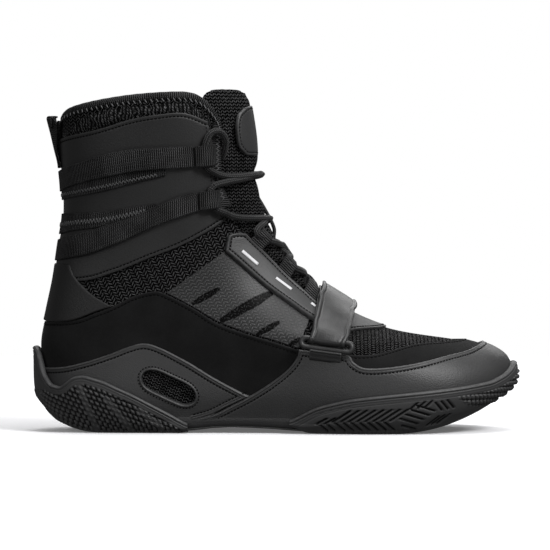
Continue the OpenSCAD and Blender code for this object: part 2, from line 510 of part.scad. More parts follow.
module lace() {
    bar = [1, front_v(front_x(85.5)), lace_under];
    path = concat(lace_half(1, 0), [bar], reverse(lace_half(-1, 1)));
    color([0.08, 0.08, 0.08]) cord(path, lace_d, 2, 6);
}

// ---- Tongue ----
flap_z = 165;      // height of the fold of the tongue
module tongue() {
    side = uvs([[172, 66], [156, 79], [142, 91], [128, 103], [116, 114], [106, 125], [100, 140], [98, 159]]);
    low = concat([side[0]], crown([[0.88, 182], [1, 186]]));
    high = concat([side[7]], uvs([[110, 160.2], [122, 161.4]]), [[1, find_v(134, 162.6)]]);
    sink = lining[0] - glue_gap - 0.5;
    color([0.12, 0.12, 0.12]) patch(round_front(low), round_front(high), [-3.2, 0], 18, 12, side,
        over_front_side(side), [sink, sink, -3.2, -0.8, 0, -0.8, -3.2, sink, sink]);
}
module tongue_flap() {
    side = uvs([[116, 162.8], [116, 175], [115.5, 187], [110.5, 200]]);
    low = concat([side[0]], uvs([[125, 163.6]]), [[1, find_v(134, 164.4)]]);
    high = concat([side[3]], uvs([[114, 206.5], [121, 208.8]]), [[1, find_v(128, 206)]]);
    color([0.12, 0.12, 0.12]) patch(round_front(low), round_front(high), [-4.6, -0.4], 16, 5, side,
        over_front_side(side));
}
module tongue_label() {
    low = concat(uvs([[124, 167.5], [128, 166.8]]), [[1, find_v(134, 166.8)]]);
    high = concat(uvs([[124.5, 194], [127.5, 196]]), [[1, find_v(131, 196.6)]]);
    color([0.2, 0.2, 0.2]) patch(round_front(low), round_front(high), [0.1, 0.9], 12, 3,
        uvs([[124, 167.5], [119.5, 174], [118, 184], [120, 191], [124.5, 194]]),
        over_front_side(uvs([[124, 167.5], [119.5, 174], [118, 184], [120, 191], [124.5, 194]])));
}

// ---- Instep strap ----
// It is sewn down on the medial side, crosses the instep, goes round the upper bar of the loop and comes
// back over itself as the flap.
// Frame of the loop on the lateral wall: X along the bars towards the toe, Y up the wall, Z outwards
loop_uv = uv([176.5, 50.6]);
loop_z = normal(loop_uv.x, loop_uv.y);
loop_aim = surf(uv([187, 49.2]).x, uv([187, 49.2]).y) - surf(uv([166, 52]).x, uv([166, 52]).y);
loop_y = unit(cross(loop_z, loop_aim));
loop_x = cross(loop_y, loop_z);
bar_gap = 8.4;             // between the middles of the two bars
strap_low = over2[1] + glue_gap;
fold_r = loop_wire_d / 2 + 0.35;
bar_out = strap_low + strap_t + fold_r;
bar_l = strap_w - 1;       // straight length of the bars
module in_loop_frame() {
    o = surf(loop_uv.x, loop_uv.y);
    multmatrix([[loop_x.x, loop_y.x, loop_z.x, o.x], [loop_x.y, loop_y.y, loop_z.y, o.y],
        [loop_x.z, loop_y.z, loop_z.z, o.z]]) children();
}
module strap_loop() {
    color([0.1, 0.1, 0.1]) in_loop_frame() translate([0, 0, bar_out])
        for (s = [-1, 1]) {
            translate([-bar_l / 2, s * bar_gap / 2, 0]) rotate([0, 90, 0])
                cylinder(h = bar_l, d = loop_wire_d, $fn = 12);
            translate([s * bar_l / 2, 0, 0]) rotate([0, 0, s > 0 ? -90 : 90])
                rotate_extrude(angle = 180, $fn = 20) translate([bar_gap / 2, 0]) circle(d = loop_wire_d, $fn = 12);
        }
}
// A leather tab round the lower bar, sewn down on the mudguard
module loop_keeper() {
    keep_r = loop_wire_d / 2 + 0.35;
    keep_t = 0.9;
    color([0.2, 0.2, 0.2]) in_loop_frame() translate([0, -bar_gap / 2, bar_out]) rotate([90, 0, 90])
        linear_extrude(height = bar_l - 3, center = true) difference() {
            union() {
                circle(r = keep_r + keep_t, $fn = 20);
                translate([-6.5, -keep_r - keep_t]) square([6.5, 1]);
            }
            circle(r = keep_r, $fn = 20);
        }
}
strap_front = concat(uvs([[187.6, 51.6], [188.6, 56.5], [190, 62]]), crown([[0.9, 193.5], [1, 195]]));
strap_rear = concat(uvs([[166.3, 55.2], [166.2, 61], [167.5, 69]]), crown([[0.88, 172.5], [1, 174.5]]));
// A layer of the strap over the instep between shares k0 and k1 of its run from the loop
module strap_band(layer, n, k0, k1, lift = [0, 0]) {
    front = round_front(strap_front);
    rear = round_front(strap_rear);
    shares = [for (i = [0:12]) k0 + (k1 - k0) * i / 12];
    patch([for (k = shares) spline(front, k * (len(front) - 1))],
        [for (k = shares) spline(rear, k * (len(rear) - 1))], layer, n, 3, lift = lift);
}
module instep_strap() {
    color([0.18, 0.18, 0.18]) union() {
        strap_band([strap_low, strap_low + strap_t], 24, 0, 1, [0.2, 0, 0, 0, 0, 0, 0, 0]);
        in_loop_frame() translate([0, bar_gap / 2, bar_out]) rotate([90, 0, 90])
            linear_extrude(height = strap_w - 1.5, center = true) difference() {
                union() {
                    circle(r = fold_r + strap_t, $fn = 24);
                    translate([0, -fold_r - strap_t]) square([3.5, strap_t]);
                }
                circle(r = fold_r, $fn = 24);
                translate([0, -fold_r]) square([20, 20]);
            }
    }
}
patch_t = 0.7;
loop_side = [strap_low + strap_t + 0.3, strap_low + strap_t + 0.3 + patch_t];
hook_side = [loop_side[1] + 0.3, loop_side[1] + 0.3 + patch_t];
flap_side = [hook_side[1] + 0.3, hook_side[1] + 0.3 + strap_t];
module loop_patch() color([0.06, 0.06, 0.06]) strap_band(loop_side, 14, 0.34, 0.78);
module hook_patch() color([0.06, 0.06, 0.06]) strap_band(hook_side, 14, 0.36, 0.76);
module strap_flap() color([0.18, 0.18, 0.18])
    strap_band(flap_side, 22, 0.006, 0.8, [1.7, 0.9, 0.2, 0, 0, 0, 0, 0, 0, 0]);

// ---- Pull tab at the back of the collar ----
module pull_tab() {
    foot = surf(0, find_v(16, 159.5));
    tab_w = 16;
    tab_t = 2;
    color([0.14, 0.14, 0.14]) translate([foot.x - over1[1] - 0.6, mid_y, foot.z]) rotate([90, 0, 0])
        linear_extrude(height = tab_w, center = true)
            polygon([[0, 0], [-1.2, 0], [-3.2, 11], [-8, 28.5], [-8 + tab_t, 29], [-3.2 + tab_t, 11]]);
}

heel_outsole();
forefoot_outsole();
midsole();
insole_board();
sockliner();
heel_counter();
toe_puff();
rear_lining();
vamp_lining();
collar_foam();
vamp_mesh();
quarter_mesh_lateral();
quarter_mesh_medial();
cuff_knit();
collar_binding();
suede_panel();
ankle_leather();
film_overlay_lateral();
film_overlay_medial();
vent_mesh_lateral();
vent_mesh_medial();
toe_suede();
vamp_gusset();
heel_overlay();
mudguard();
heel_cap();
eyestay_lateral();
eyestay_medial();
reflective_dashes();
strap_backing_lower();
strap_backing_upper();
ankle_strap_lower();
ankle_strap_upper();
eyestay_loops();
lace();
tongue();
tongue_flap();
tongue_label();
strap_loop();
loop_keeper();
instep_strap();
strap_flap();
loop_patch();
hook_patch();
pull_tab();
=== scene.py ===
import math

import bpy
import numpy as np
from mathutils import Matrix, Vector
from mathutils.kdtree import KDTree


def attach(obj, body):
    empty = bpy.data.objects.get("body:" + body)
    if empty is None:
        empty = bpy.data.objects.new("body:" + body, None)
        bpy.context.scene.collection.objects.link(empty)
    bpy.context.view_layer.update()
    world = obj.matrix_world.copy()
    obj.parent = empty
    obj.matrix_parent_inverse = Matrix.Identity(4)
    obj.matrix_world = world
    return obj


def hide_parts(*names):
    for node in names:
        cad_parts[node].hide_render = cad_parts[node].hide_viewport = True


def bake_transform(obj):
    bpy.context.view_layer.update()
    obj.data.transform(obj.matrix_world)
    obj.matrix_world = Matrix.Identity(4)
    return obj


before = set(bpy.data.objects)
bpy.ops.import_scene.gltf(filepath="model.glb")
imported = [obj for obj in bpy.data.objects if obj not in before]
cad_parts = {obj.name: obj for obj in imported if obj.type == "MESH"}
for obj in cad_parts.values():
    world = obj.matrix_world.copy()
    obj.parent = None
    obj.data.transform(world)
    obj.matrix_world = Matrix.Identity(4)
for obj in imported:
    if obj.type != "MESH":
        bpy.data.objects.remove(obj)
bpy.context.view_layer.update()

# ---- Camera ----
AIM = Vector((-0.0003, 0.0, 0.0941))
camera = bpy.data.objects.new("camera", bpy.data.cameras.new("camera"))
bpy.context.scene.collection.objects.link(camera)
bpy.context.scene.camera = camera
ELEVATION = math.radians(1.6)
DISTANCE = 2.6
VIEW_WIDTH = 0.33385
camera.location = AIM + DISTANCE * Vector((0, -math.cos(ELEVATION), math.sin(ELEVATION)))
camera.rotation_euler = (math.pi / 2 - ELEVATION, 0, 0)
camera.data.sensor_width = 36
camera.data.lens = camera.data.sensor_width * DISTANCE / VIEW_WIDTH
camera.data.clip_end = 60

# ---- Reference surface ----
BACK = np.array([[9, 15], [6.5, 26], [5.8, 40], [5.2, 55], [8.8, 73], [12.8, 92], [15.8, 112], [18.6, 130],
                 [18.4, 148], [16.5, 170], [16, 200]], float)
FRONT = np.array([[281, 26], [287, 34], [283, 45], [262, 53.5], [212, 62.5], [172, 83], [148, 110],
                  [138, 133], [134.5, 155], [133, 179], [128, 210]], float)
HALF = np.array([[0, 20, 29, 28, 30, 42, 42, 24, 0], [0, 22, 32, 32, 35, 47, 45, 25, 0],
                 [0, 22, 32.5, 33, 37, 47, 41, 21, 0], [0, 21, 31.5, 33, 37.5, 43, 33, 17, 0],
                 [0, 19, 29.5, 33, 36.5, 37, 31, 16, 0], [0, 17, 27, 32, 34, 32.5, 25, 14, 0],
                 [0, 16, 26, 32.5, 34.5, 31.5, 23, 12, 0], [0, 15.5, 26.5, 33.5, 36, 32.5, 23.5, 12.5, 0],
                 [0, 16, 28, 35.5, 38, 34, 24.5, 13, 0], [0, 17, 29.5, 37.5, 40, 36, 26, 14, 0],
                 [0, 18, 31, 39, 42, 38, 27.5, 14.5, 0]], float)
SWING = np.array([0, 0, -0.5, -2, -3, -1.5, 2.5, 5.5, 6.5])
SWING_FADE = np.array([1, 1, 1, 0.9, 0.5, 0.15, 0, 0, 0, 0, 0])
BOW = np.array([0, -3.2, -6.4, -9.3, -12, -14.6, -13.4, -6.6, 0])
BOW_FADE = np.array([1, 0.5, 0.28, 0.1, 0, 0, 0, 0, 0, 0, 0])
# The middle plane's y, and the distance from the heel to x = 0
MID_Y = 0.7
HALF_L = 146

# Offsets of the first and second overlay from the reference surface
OVER1 = 1.4
OVER2 = 2.9
# Radius of the lace, and the gap between the points along it
LACE_R = 1.85
LACE_STEP = 0.45

# Turn of the fabric in degrees from the ground, on the quarter and on the heel's vent
KNIT_TILT = 27
VENT_TILT = -24
# Distance in mm that stands for well inside a fabric's edges
INSIDE = 9.0


def weights(n, p):
    """Entries and weights of the smooth curve through a table with n + 1 entries, at places p."""
    p = np.clip(np.asarray(p, float), 0, n)
    i = np.minimum(np.floor(p).astype(int), n - 1)
    f = p - i
    w = 0.5 * np.stack([-f + 2 * f**2 - f**3, 2 - 5 * f**2 + 3 * f**3,
                        f + 4 * f**2 - 3 * f**3, -(f**2) + f**3])
    first, last = i == 0, i == n - 1
    w[1] += np.where(first, 2 * w[0], 0)
    w[2] -= np.where(first, w[0], 0)
    w[0] = np.where(first, 0, w[0])
    w[2] += np.where(last, 2 * w[3], 0)
    w[1] -= np.where(last, w[3], 0)
    w[3] = np.where(last, 0, w[3])
    return np.clip(np.stack([i - 1, i, i + 1, i + 2]), 0, n), w


def spline(table, p):
    table = np.asarray(table, float)
    i, w = weights(len(table) - 1, p)
    return (table[i] * (w if table.ndim == 1 else w[..., None])).sum(0)


def surf(p):
    p = np.asarray(p, float)
    u, v = p[..., 0], p[..., 1]
    u = np.where(u > 1, u - 2, np.where(u < -1, u + 2, u))
    a = np.abs(u)
    t = (1 - np.cos(np.pi * a)) / 2
    iv, wv = weights(10, v * 10)
    ia, wa = weights(8, a * 8)
    b = (BACK[iv] * wv[..., None]).sum(0)
    f = (FRONT[iv] * wv[..., None]).sum(0)
    half = sum(wv[k] * wa[m] * HALF[iv[k], ia[m]] for k in range(4) for m in range(4))
    swing = (SWING[ia] * wa).sum(0) * (SWING_FADE[iv] * wv).sum(0)
    bow = (BOW[ia] * wa).sum(0) * (BOW_FADE[iv] * wv).sum(0)
    return np.stack([b[..., 0] + (f[..., 0] - b[..., 0]) * t - HALF_L, swing - np.sign(u) * half + MID_Y,
                     b[..., 1] + (f[..., 1] - b[..., 1]) * t + bow], -1)


def unit(a):
    return a / np.maximum(np.linalg.norm(a, axis=-1, keepdims=True), 1e-9)


def slopes(p, e=0.004):
    w = np.stack([p[..., 0], np.clip(p[..., 1], e, 1 - e)], -1)
    return ((surf(w + [e, 0]) - surf(w - [e, 0])) / (2 * e), (surf(w + [0, e]) - surf(w - [0, e])) / (2 * e))


def normal(p):
    return unit(np.cross(*slopes(np.asarray(p, float))))


def lift(p, d):
    return surf(p) + normal(p) * np.asarray(d, float)[..., None]


def slice_z(v, x):
    b, f = spline(BACK, v * 10), spline(FRONT, v * 10)
    t = np.clip((x - b[..., 0]) / (f[..., 0] - b[..., 0]), 0, 1)
    a = np.arccos(1 - 2 * t) / np.pi
    return b[..., 1] + (f[..., 1] - b[..., 1]) * t + spline(BOW, a * 8) * spline(BOW_FADE, v * 10)


def bisect(below, lo, hi, steps=18):
    for _ in range(steps):
        m = (lo + hi) / 2
        low = below(m)
        lo, hi = np.where(low, m, lo), np.where(low, hi, m)
    return (lo + hi) / 2


def uv(points):
    """(u, v) of side-view points [mm from the heel, height] on the lateral side."""
    q = np.asarray(points, float)
    v = bisect(lambda m: slice_z(m, q[..., 0]) < q[..., 1], np.zeros(q.shape[:-1]), np.ones(q.shape[:-1]))
    b, f = spline(BACK, v * 10), spline(FRONT, v * 10)
    t = np.clip((q[..., 0] - b[..., 0]) / (f[..., 0] - b[..., 0]), 0, 1)
    return np.stack([np.arccos(1 - 2 * t) / np.pi, v], -1)


def crown(points):
    """(u, v) of points near the front centre line, given as [u, mm from the heel]."""
    q = np.asarray(points, float)
    ahead = lambda m: surf(np.stack([q[..., 0], m], -1))[..., 0] + HALF_L > q[..., 1]
    return np.stack([q[..., 0], bisect(ahead, np.full(len(q), 0.17), np.full(len(q), 0.9))], -1)


def join(*curves):
    return np.concatenate([np.asarray(c, float).reshape(-1, 2) for c in curves])


def medial(c):
    return np.asarray(c)[::-1] * [-1, 1]


def mirrored(c):
    return np.asarray(c) * [-1, 1]


def over_front(c):
    return np.asarray(c) * [-1, 1] + [2, 0]


def round_back(c):
    return join(medial(c), c[1:])


def round_front(c):
    return join(c, over_front(c)[::-1][1:])


def line(points, n=24):
    """A smooth dense line through a few (u, v) points."""
    points = np.asarray(points, float)
    return spline(points, np.linspace(0, len(points) - 1, n * (len(points) - 1) + 1))


def run(points, axis=0):
    """Length in mm from the start of a line of points, or of each line of a grid, to each point."""
    gaps = np.linalg.norm(np.diff(points, axis=axis), axis=-1)
    return np.cumsum(np.insert(gaps, 0, 0, axis=axis), axis=axis)


def sample(x, r, table):
    """Rows of a table at places x, where r is each row's place."""
    return np.stack([np.interp(x, r, column) for column in table.T], -1)


def along(p, shares):
    """(u, v) at shares of the length of a dense line."""
    r = run(surf(p))
    return sample(np.asarray(shares, float) * r[-1], r, p)


def fine(length, cell):
    """Shares along a run of that length: close together near both ends, cell mm apart between them."""
    ramp = np.array([0, 0.12, 0.3, 0.55, 0.85, 1.2, 1.55, 1.9, 2.25, 2.6, 2.95, 3.3, 3.8, 4.5])
    ramp = ramp[ramp < length * 0.42]
    n = max(2, int((length - 2 * ramp[-1]) / cell) + 1)
    flat = np.linspace(ramp[-1], length - ramp[-1], n + 1)
    return np.concatenate([ramp[:-1], flat, (length - ramp[:-1])[::-1]]) / length


def patch(a, b, c=None, d=None, cell=1.2):
    """Grid of (u, v) between low line a and high line b, with side lines c and d."""
    a, b = line(a), line(b)
    c = np.linspace(a[0], b[0], 30) if c is None else line(c)
    d = np.linspace(a[-1], b[-1], 30) if d is None else line(d)
    middle = np.linspace(along(a, [0.5])[0], along(b, [0.5])[0], 30)
    r = fine(max(run(surf(k))[-1] for k in (a, b)), cell)
    q = fine(max(run(surf(k))[-1] for k in (c, d, middle)), cell)
    s, t = r[:, None, None], q[None, :, None]
    return ((1 - t) * along(a, r)[:, None] + t * along(b, r)[:, None] + (1 - s) * along(c, q)[None]
            + s * along(d, q)[None] - (1 - s) * (1 - t) * a[0] - s * (1 - t) * a[-1] - (1 - s) * t * b[0]
            - s * t * b[-1])


def back_patch(low, high, side, cell=1.2):
    """Grid round the back, between side on the medial side and side itself."""
    return patch(round_back(low), round_back(high), mirrored(side), side, cell)


def front_patch(low, high, side, cell=1.2):
    """Grid round the front, from side to the same line on the medial side."""
    return patch(round_front(low), round_front(high), side, over_front(side), cell)


def both(low, high, start=None, end=None, cell=1.2):
    """The same patch on each side of the boot, as (side's name, grid)."""
    ends = [None if c is None else mirrored(c) for c in (end, start)]
    return (("lateral", patch(low, high, start, end, cell)),
            ("medial", patch(medial(low), medial(high), *ends, cell)))


def nearest(points, targets):
    """Distance in mm from each point to the nearest target."""
    tree = KDTree(len(targets))
    for i, co in enumerate(targets):
        tree.insert(co, i)
    tree.balance()
    flat = points.reshape(-1, 3)
    return np.array([tree.find(co)[2] for co in flat]).reshape(points.shape[:-1])


def dense(points, step=0.25):
    r = run(points)
    x = np.linspace(0, r[-1], max(2, int(r[-1] / step)))
    return sample(x, r, points)


def bump(x, centre, width):
    return np.exp(-(((x - centre) / width) ** 2))


def step(x, a, b):
    t = np.clip((x - a) / (b - a), 0, 1)
    return t * t * (3 - 2 * t)


# ---- Meshes ----
def grid_faces(n, m):
    i, j = np.meshgrid(np.arange(n - 1), np.arange(m - 1), indexing="ij")
    k = i * m + j
    return np.stack([k, k + m, k + m + 1, k + 1], -1).reshape(-1, 4)


def border(n, m):
    """Indices of a grid's border, counter-clockwise."""
    i, j = np.arange(n), np.arange(m)
    return np.concatenate([i * m, (n - 1) * m + j[1:], (i * m + m - 1)[::-1][1:], j[::-1][1:-1]])


def linked(name, data):
    """A new object in the scene."""
    obj = bpy.data.objects.new(name, data)
    bpy.context.scene.collection.objects.link(obj)
    return obj


def read_points(mesh):
    co = np.zeros(len(mesh.vertices) * 3)
    mesh.vertices.foreach_get("co", co)
    return co.reshape(-1, 3)


def piece(name, parts, material, body="boot", stands_for=()):
    """A Blender object from (points in mm, faces, weave). weave is each point's place on its fabric in mm."""
    points, faces, weave = parts
    mesh = bpy.data.meshes.new(name)
    mesh.from_pydata((points * 0.001).tolist(), [], faces.tolist())
    mesh.polygons.foreach_set("use_smooth", [True] * len(mesh.polygons))
    attribute = mesh.attributes.new("weave", "FLOAT_VECTOR", "POINT")
    attribute.data.foreach_set("vector", np.asarray(weave, np.float32).ravel())
    mesh.materials.append(material)
    obj = linked(name, mesh)
    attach(obj, body)
    if stands_for:
        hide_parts(*stands_for)
    return obj


def closed_faces(n, m):
    """Faces of a closed sheet, whose points are an outer grid and then an inner one."""
    faces = grid_faces(n, m)
    ring = border(n, m)
    after = np.roll(ring, -1)
    rim = np.stack([ring, n * m + ring, n * m + after, after], -1)
    return np.concatenate([faces, faces[:, ::-1] + n * m, rim])


def merge(parts):
    """Several (points, faces, weave) as one."""
    starts = np.cumsum([0] + [len(p[0]) for p in parts])
    return (np.concatenate([p[0] for p in parts]), np.concatenate([p[1] + s for p, s in zip(parts, starts)]),
            np.concatenate([p[2] for p in parts]))


def by_grid(points):
    """Fabric laid along the grid's own lines."""
    s = run(points)
    return s - s[len(s) // 2], run(points, 1)


def by_side(tilt):
    """Fabric seen flat from the side, turned by tilt degrees."""
    c, s = math.cos(math.radians(tilt)), math.sin(math.radians(tilt))
    return lambda q: (q[..., 0] * c + q[..., 2] * s, q[..., 2] * c - q[..., 0] * s)


def by_crown(q):
    """Fabric laid over the forefoot, straight along it."""
    top = surf(np.stack([np.ones(60), np.linspace(0.95, 0.2, 60)], -1))
    height = np.interp(q[..., 0], top[:, 0], top[:, 2])
    across = 0.85 * (np.abs(q[..., 1] - MID_Y) + np.maximum(height - q[..., 2], 0))
    return q[..., 0], across * np.sign(q[..., 1] - MID_Y)


def panel(name, grid, top, foot, material, stands_for, edges="abcd", trim="", profile=None, round_r=0.7,
          lay=by_grid, body="boot", shape=None, cut=None):
    """A sheet on the reference surface with rounded free edges and a rim down to foot.
    edges are its free edges: a low, b high, c start, d end.
    profile adds height by distance to the trim edges."""
    n, m = grid.shape[:2]
    base, out = surf(grid), normal(grid)
    sides = {"a": base[:, 0], "b": base[:, -1], "c": base[0], "d": base[-1]}
    free = nearest(base, np.concatenate([dense(sides[k]) for k in edges]))
    x = np.clip(1 - free / round_r, 0, 1)
    height = top - 0.8 * round_r * (1 - np.sqrt(1 - x * x))
    if profile:
        height = height + profile(nearest(base, np.concatenate([dense(sides[k]) for k in trim])))
    if shape is not None:
        height = height + shape(grid, base)
    points = (base + out * height[..., None]).reshape(-1, 3)
    s, t = lay(base)
    weave = np.stack([s, t, free], -1).reshape(-1, 3)
    faces = grid_faces(n, m)
    if cut is not None:
        keep = cut(base.reshape(-1, 3)[faces].mean(1))
        faces = faces[keep]
    ring = border(n, m)
    under = (base + out * foot).reshape(-1, 3)[ring]
    k = np.arange(len(ring))
    nxt = np.roll(k, -1)
    rim = np.stack([ring[k], len(points) + k, len(points) + nxt, ring[nxt]], -1)
    parts = ([points, under], [faces, rim], [weave, weave[ring]])
    return piece(name, [np.concatenate(p) for p in parts], material, body, stands_for)


def grid_normals(g):
    return unit(np.cross(np.gradient(g, axis=0), np.gradient(g, axis=1)))


def ribbon(g, thick, edge_r=0.5, relief=None):
    """A band of that thickness about a grid of points (length by width), with rounded side edges."""
    n, m = g.shape[:2]
    width = run(g, 1)
    side = np.minimum(width, width[:, -1:] - width)
    x = np.clip(1 - side / edge_r, 0, 1)
    half = thick / 2 * np.maximum(np.sqrt(1 - x * x), 0.12)
    out = grid_normals(g)
    rise = 0 if relief is None else relief(side)[..., None]
    upper = (g + out * (half[..., None] + rise)).reshape(-1, 3)
    lower = (g - out * half[..., None]).reshape(-1, 3)
    s = np.broadcast_to(run(g).mean(1, keepdims=True), (n, m))
    weave = np.stack([s, width, side], -1).reshape(-1, 3)
    return np.concatenate([upper, lower]), closed_faces(n, m), np.concatenate([weave, weave])


def tube(path, out, radius, sides=16, relief=None, closed=False):
    """A tube along points in mm. out is a direction across it at each point."""
    n = len(path)
    ahead = np.roll(path, -1, 0) - np.roll(path, 1, 0) if closed else np.gradient(path, axis=0)
    t = unit(ahead)
    side = unit(np.cross(t, out))
    up = np.cross(side, t)
    s = run(path)
    angle = np.arange(sides) * 2 * np.pi / sides
    r = np.broadcast_to(np.asarray(radius, float).reshape(-1, 1), (n, sides))
    if relief is not None:
        r = r * relief(s[:, None], angle[None])
    ring = side[:, None] * np.cos(angle)[None, :, None] + up[:, None] * np.sin(angle)[None, :, None]
    points = (path[:, None] + ring * r[..., None]).reshape(-1, 3)
    i, j = np.meshgrid(np.arange(n if closed else n - 1), np.arange(sides), indexing="ij")
    a, b = i % n * sides, (i + 1) % n * sides
    faces = np.stack([a + j, b + j, b + (j + 1) % sides, a + (j + 1) % sides], -1).reshape(-1, 4)
    weave = np.stack(np.broadcast_arrays(s[:, None], angle[None] * r.mean(), np.full((n, sides), INSIDE)), -1)
    return points, faces[:, ::-1], weave.reshape(-1, 3)


def resampled(path, gap, *more):
    r = run(path)
    x = np.linspace(0, r[-1], int(r[-1] / gap) + 1)
    return [sample(x, r, table) for table in (path, *more)]


# ---- Stitches ----
def inset(edge, dist):
    """A dense (u, v) line dist mm to the left of edge, seen from outside (the high side, going forward)."""
    p, out = surf(edge), normal(edge)
    left = unit(np.cross(out, unit(np.gradient(p, axis=0)))) * dist
    su, sv = slopes(edge)
    a, b, c = (su * su).sum(-1), (su * sv).sum(-1), (sv * sv).sum(-1)
    x, y = (su * left).sum(-1), (sv * left).sum(-1)
    det = a * c - b * b
    moved = edge + np.stack([(c * x - b * y) / det, (a * y - b * x) / det], -1)
    return moved[nearest(surf(moved), dense(p)) > abs(dist) * 0.93]


def threads(starts, ends, out, width=0.55, sink=0.3):
    """Stitches from starts to ends, rounded and dipping into the leather at both ends."""
    place = np.array([-0.5, -0.43, -0.22, 0.22, 0.43, 0.5])
    size = np.array([0.3, 0.75, 1, 1, 0.75, 0.3])
    rise = np.array([-sink, 0.02, 0.12, 0.12, 0.02, -sink])
    angle = np.arange(6) * np.pi / 3
    t = unit(ends - starts)
    side = unit(np.cross(t, out))
    up = np.cross(side, t)
    length = np.linalg.norm(ends - starts, axis=-1)
    centre = ((starts + ends) / 2)[:, None] + t[:, None] * place[None, :, None] * length[:, None, None]
    centre = centre + up[:, None] * rise[None, :, None]
    ring = side[:, None] * np.cos(angle)[None, :, None] + up[:, None] * 0.8 * np.sin(angle)[None, :, None]
    points = centre[:, :, None] + ring[:, None] * (size[None, :, None, None] * width / 2)
    k = len(starts)
    i, j = np.meshgrid(np.arange(5), np.arange(6), indexing="ij")
    after = (j + 1) % 6
    f = np.stack([i * 6 + j, (i + 1) * 6 + j, (i + 1) * 6 + after, i * 6 + after], -1).reshape(-1, 4)
    faces = (f[None, :, ::-1] + (np.arange(k) * 36)[:, None, None]).reshape(-1, 4)
    weave = np.zeros((k * 36, 3))
    weave[:, 0] = np.broadcast_to(place[None, :, None] * 2, (k, 6, 6)).ravel()
    return points.reshape(-1, 3), faces, weave


def seam(row, height, pitch=2.5, length=1.75, width=0.75):
    """Stitches along a dense (u, v) line, at that offset."""
    r = run(surf(row))
    n = int(r[-1] / pitch)
    middle = (np.arange(n) + 0.5) * r[-1] / n
    a, b = sample(middle - length / 2, r, row), sample(middle + length / 2, r, row)
    return threads(lift(a, height), lift(b, height), normal((a + b) / 2), width)


def zigzag(row, height, pitch=2.2, width=3.2, thread=0.45):
    """Zigzag stitches along a dense (u, v) line."""
    upper, lower = inset(row, width / 2), inset(row, -width / 2)
    n = int(run(surf(row))[-1] / pitch)
    k = (np.arange(2 * n) + 0.5) / (2 * n)
    points = np.where((np.arange(2 * n) % 2 == 0)[:, None], along(upper, k), along(lower, k))
    place = lift(points, height)
    return threads(place[:-1], place[1:], normal(points[:-1]), thread, 0.12)


# ---- Materials ----
class Shader:
    """A node material. An input takes a number, a colour or another node's output."""

    def __init__(self, name, **sockets):
        self.material = bpy.data.materials.new(name)
        self.material.use_nodes = True
        self.tree = self.material.node_tree
        self.tree.nodes.clear()
        self.bsdf = self.tree.nodes.new("ShaderNodeBsdfPrincipled")
        out = self.tree.nodes.new("ShaderNodeOutputMaterial")
        self.tree.links.new(self.bsdf.outputs[0], out.inputs[0])
        for key, value in sockets.items():
            self.bsdf.inputs[key.replace("_", " ")].default_value = value
        self.place = self.node("ShaderNodeTexCoord").outputs["Object"]
        split = self.node("ShaderNodeSeparateXYZ", Vector=self.node(
            "ShaderNodeAttribute", props={"attribute_name": "weave"}).outputs["Vector"])
        self.s, self.t, self.edge = split.outputs

    def node(self, kind, props=None, **inputs):
        node = self.tree.nodes.new(kind)
        for key, value in (props or {}).items():
            setattr(node, key, value)
        for key, value in inputs.items():
            self.put(node.inputs[key.replace("_", " ")], value)
        return node

    def put(self, socket, value):
        if isinstance(value, bpy.types.NodeSocket):
            self.tree.links.new(value, socket)
        else:
            socket.default_value = value

    def math(self, operation, a, b=0.0, c=0.0):
        node = self.node("ShaderNodeMath", {"operation": operation})
        for socket, value in zip(node.inputs, (a, b, c)):
            self.put(socket, value)
        return node.outputs[0]

    def add(self, a, b):
        return self.math("ADD", a, b)

    def mul(self, a, b):
        return self.math("MULTIPLY", a, b)

    def sub(self, a, b):
        return self.math("SUBTRACT", a, b)

    def step(self, x, a, b):
        """0 where x is under a, 1 where it is over b."""
        node = self.node("ShaderNodeMapRange", {"interpolation_type": "SMOOTHSTEP"}, Value=x)
        node.inputs["From Min"].default_value = min(a, b)
        node.inputs["From Max"].default_value = max(a, b)
        node.inputs["To Min"].default_value = 0.0 if a < b else 1.0
        node.inputs["To Max"].default_value = 1.0 if a < b else 0.0
        return node.outputs["Result"]

    def wave(self, x, period):
        """A sine between 0 and 1."""
        return self.math("MULTIPLY_ADD", self.math("SINE", self.mul(x, 2 * math.pi / period)), 0.5, 0.5)

    def tri(self, x, period):
        return self.mul(self.math("PINGPONG", self.mul(x, 1 / period), 0.5), 2.0)

    def noise(self, scale, detail=3.0, vector=None, rough=0.55):
        return self.node("ShaderNodeTexNoise", Vector=vector or self.place, Scale=scale, Detail=detail,
                         Roughness=rough).outputs["Fac"]

    def cells(self, scale, vector=None):
        return self.node("ShaderNodeTexVoronoi", Vector=vector or self.place, Scale=scale).outputs["Distance"]

    def mix(self, factor, a, b):
        node = self.node("ShaderNodeMix", {"data_type": "RGBA"})
        self.put(node.inputs[0], factor)
        self.put(node.inputs[6], grey(a))
        self.put(node.inputs[7], grey(b))
        return node.outputs[2]

    def blend(self, factor, a, b):
        return self.add(self.mul(a, self.sub(1.0, factor)), self.mul(b, factor))

    def shade(self, height, low, high):
        """Less shine in the gaps than on the tops."""
        self.put(self.bsdf.inputs["Specular IOR Level"], self.math("MULTIPLY_ADD", height, high - low, low))

    def finish(self, colour, rough, *bumps):
        self.put(self.bsdf.inputs["Base Color"], grey(colour))
        self.put(self.bsdf.inputs["Roughness"], rough)
        last = None
        for height, distance in bumps:
            node = self.node("ShaderNodeBump", Strength=1.0, Distance=distance * 0.001, Height=height)
            if last is not None:
                self.tree.links.new(last, node.inputs["Normal"])
            last = node.outputs["Normal"]
        if last is not None:
            self.tree.links.new(last, self.bsdf.inputs["Normal"])
        return self.material


def grey(value):
    if isinstance(value, (int, float)):
        return (value, value, value * 1.02, 1.0)
    return value


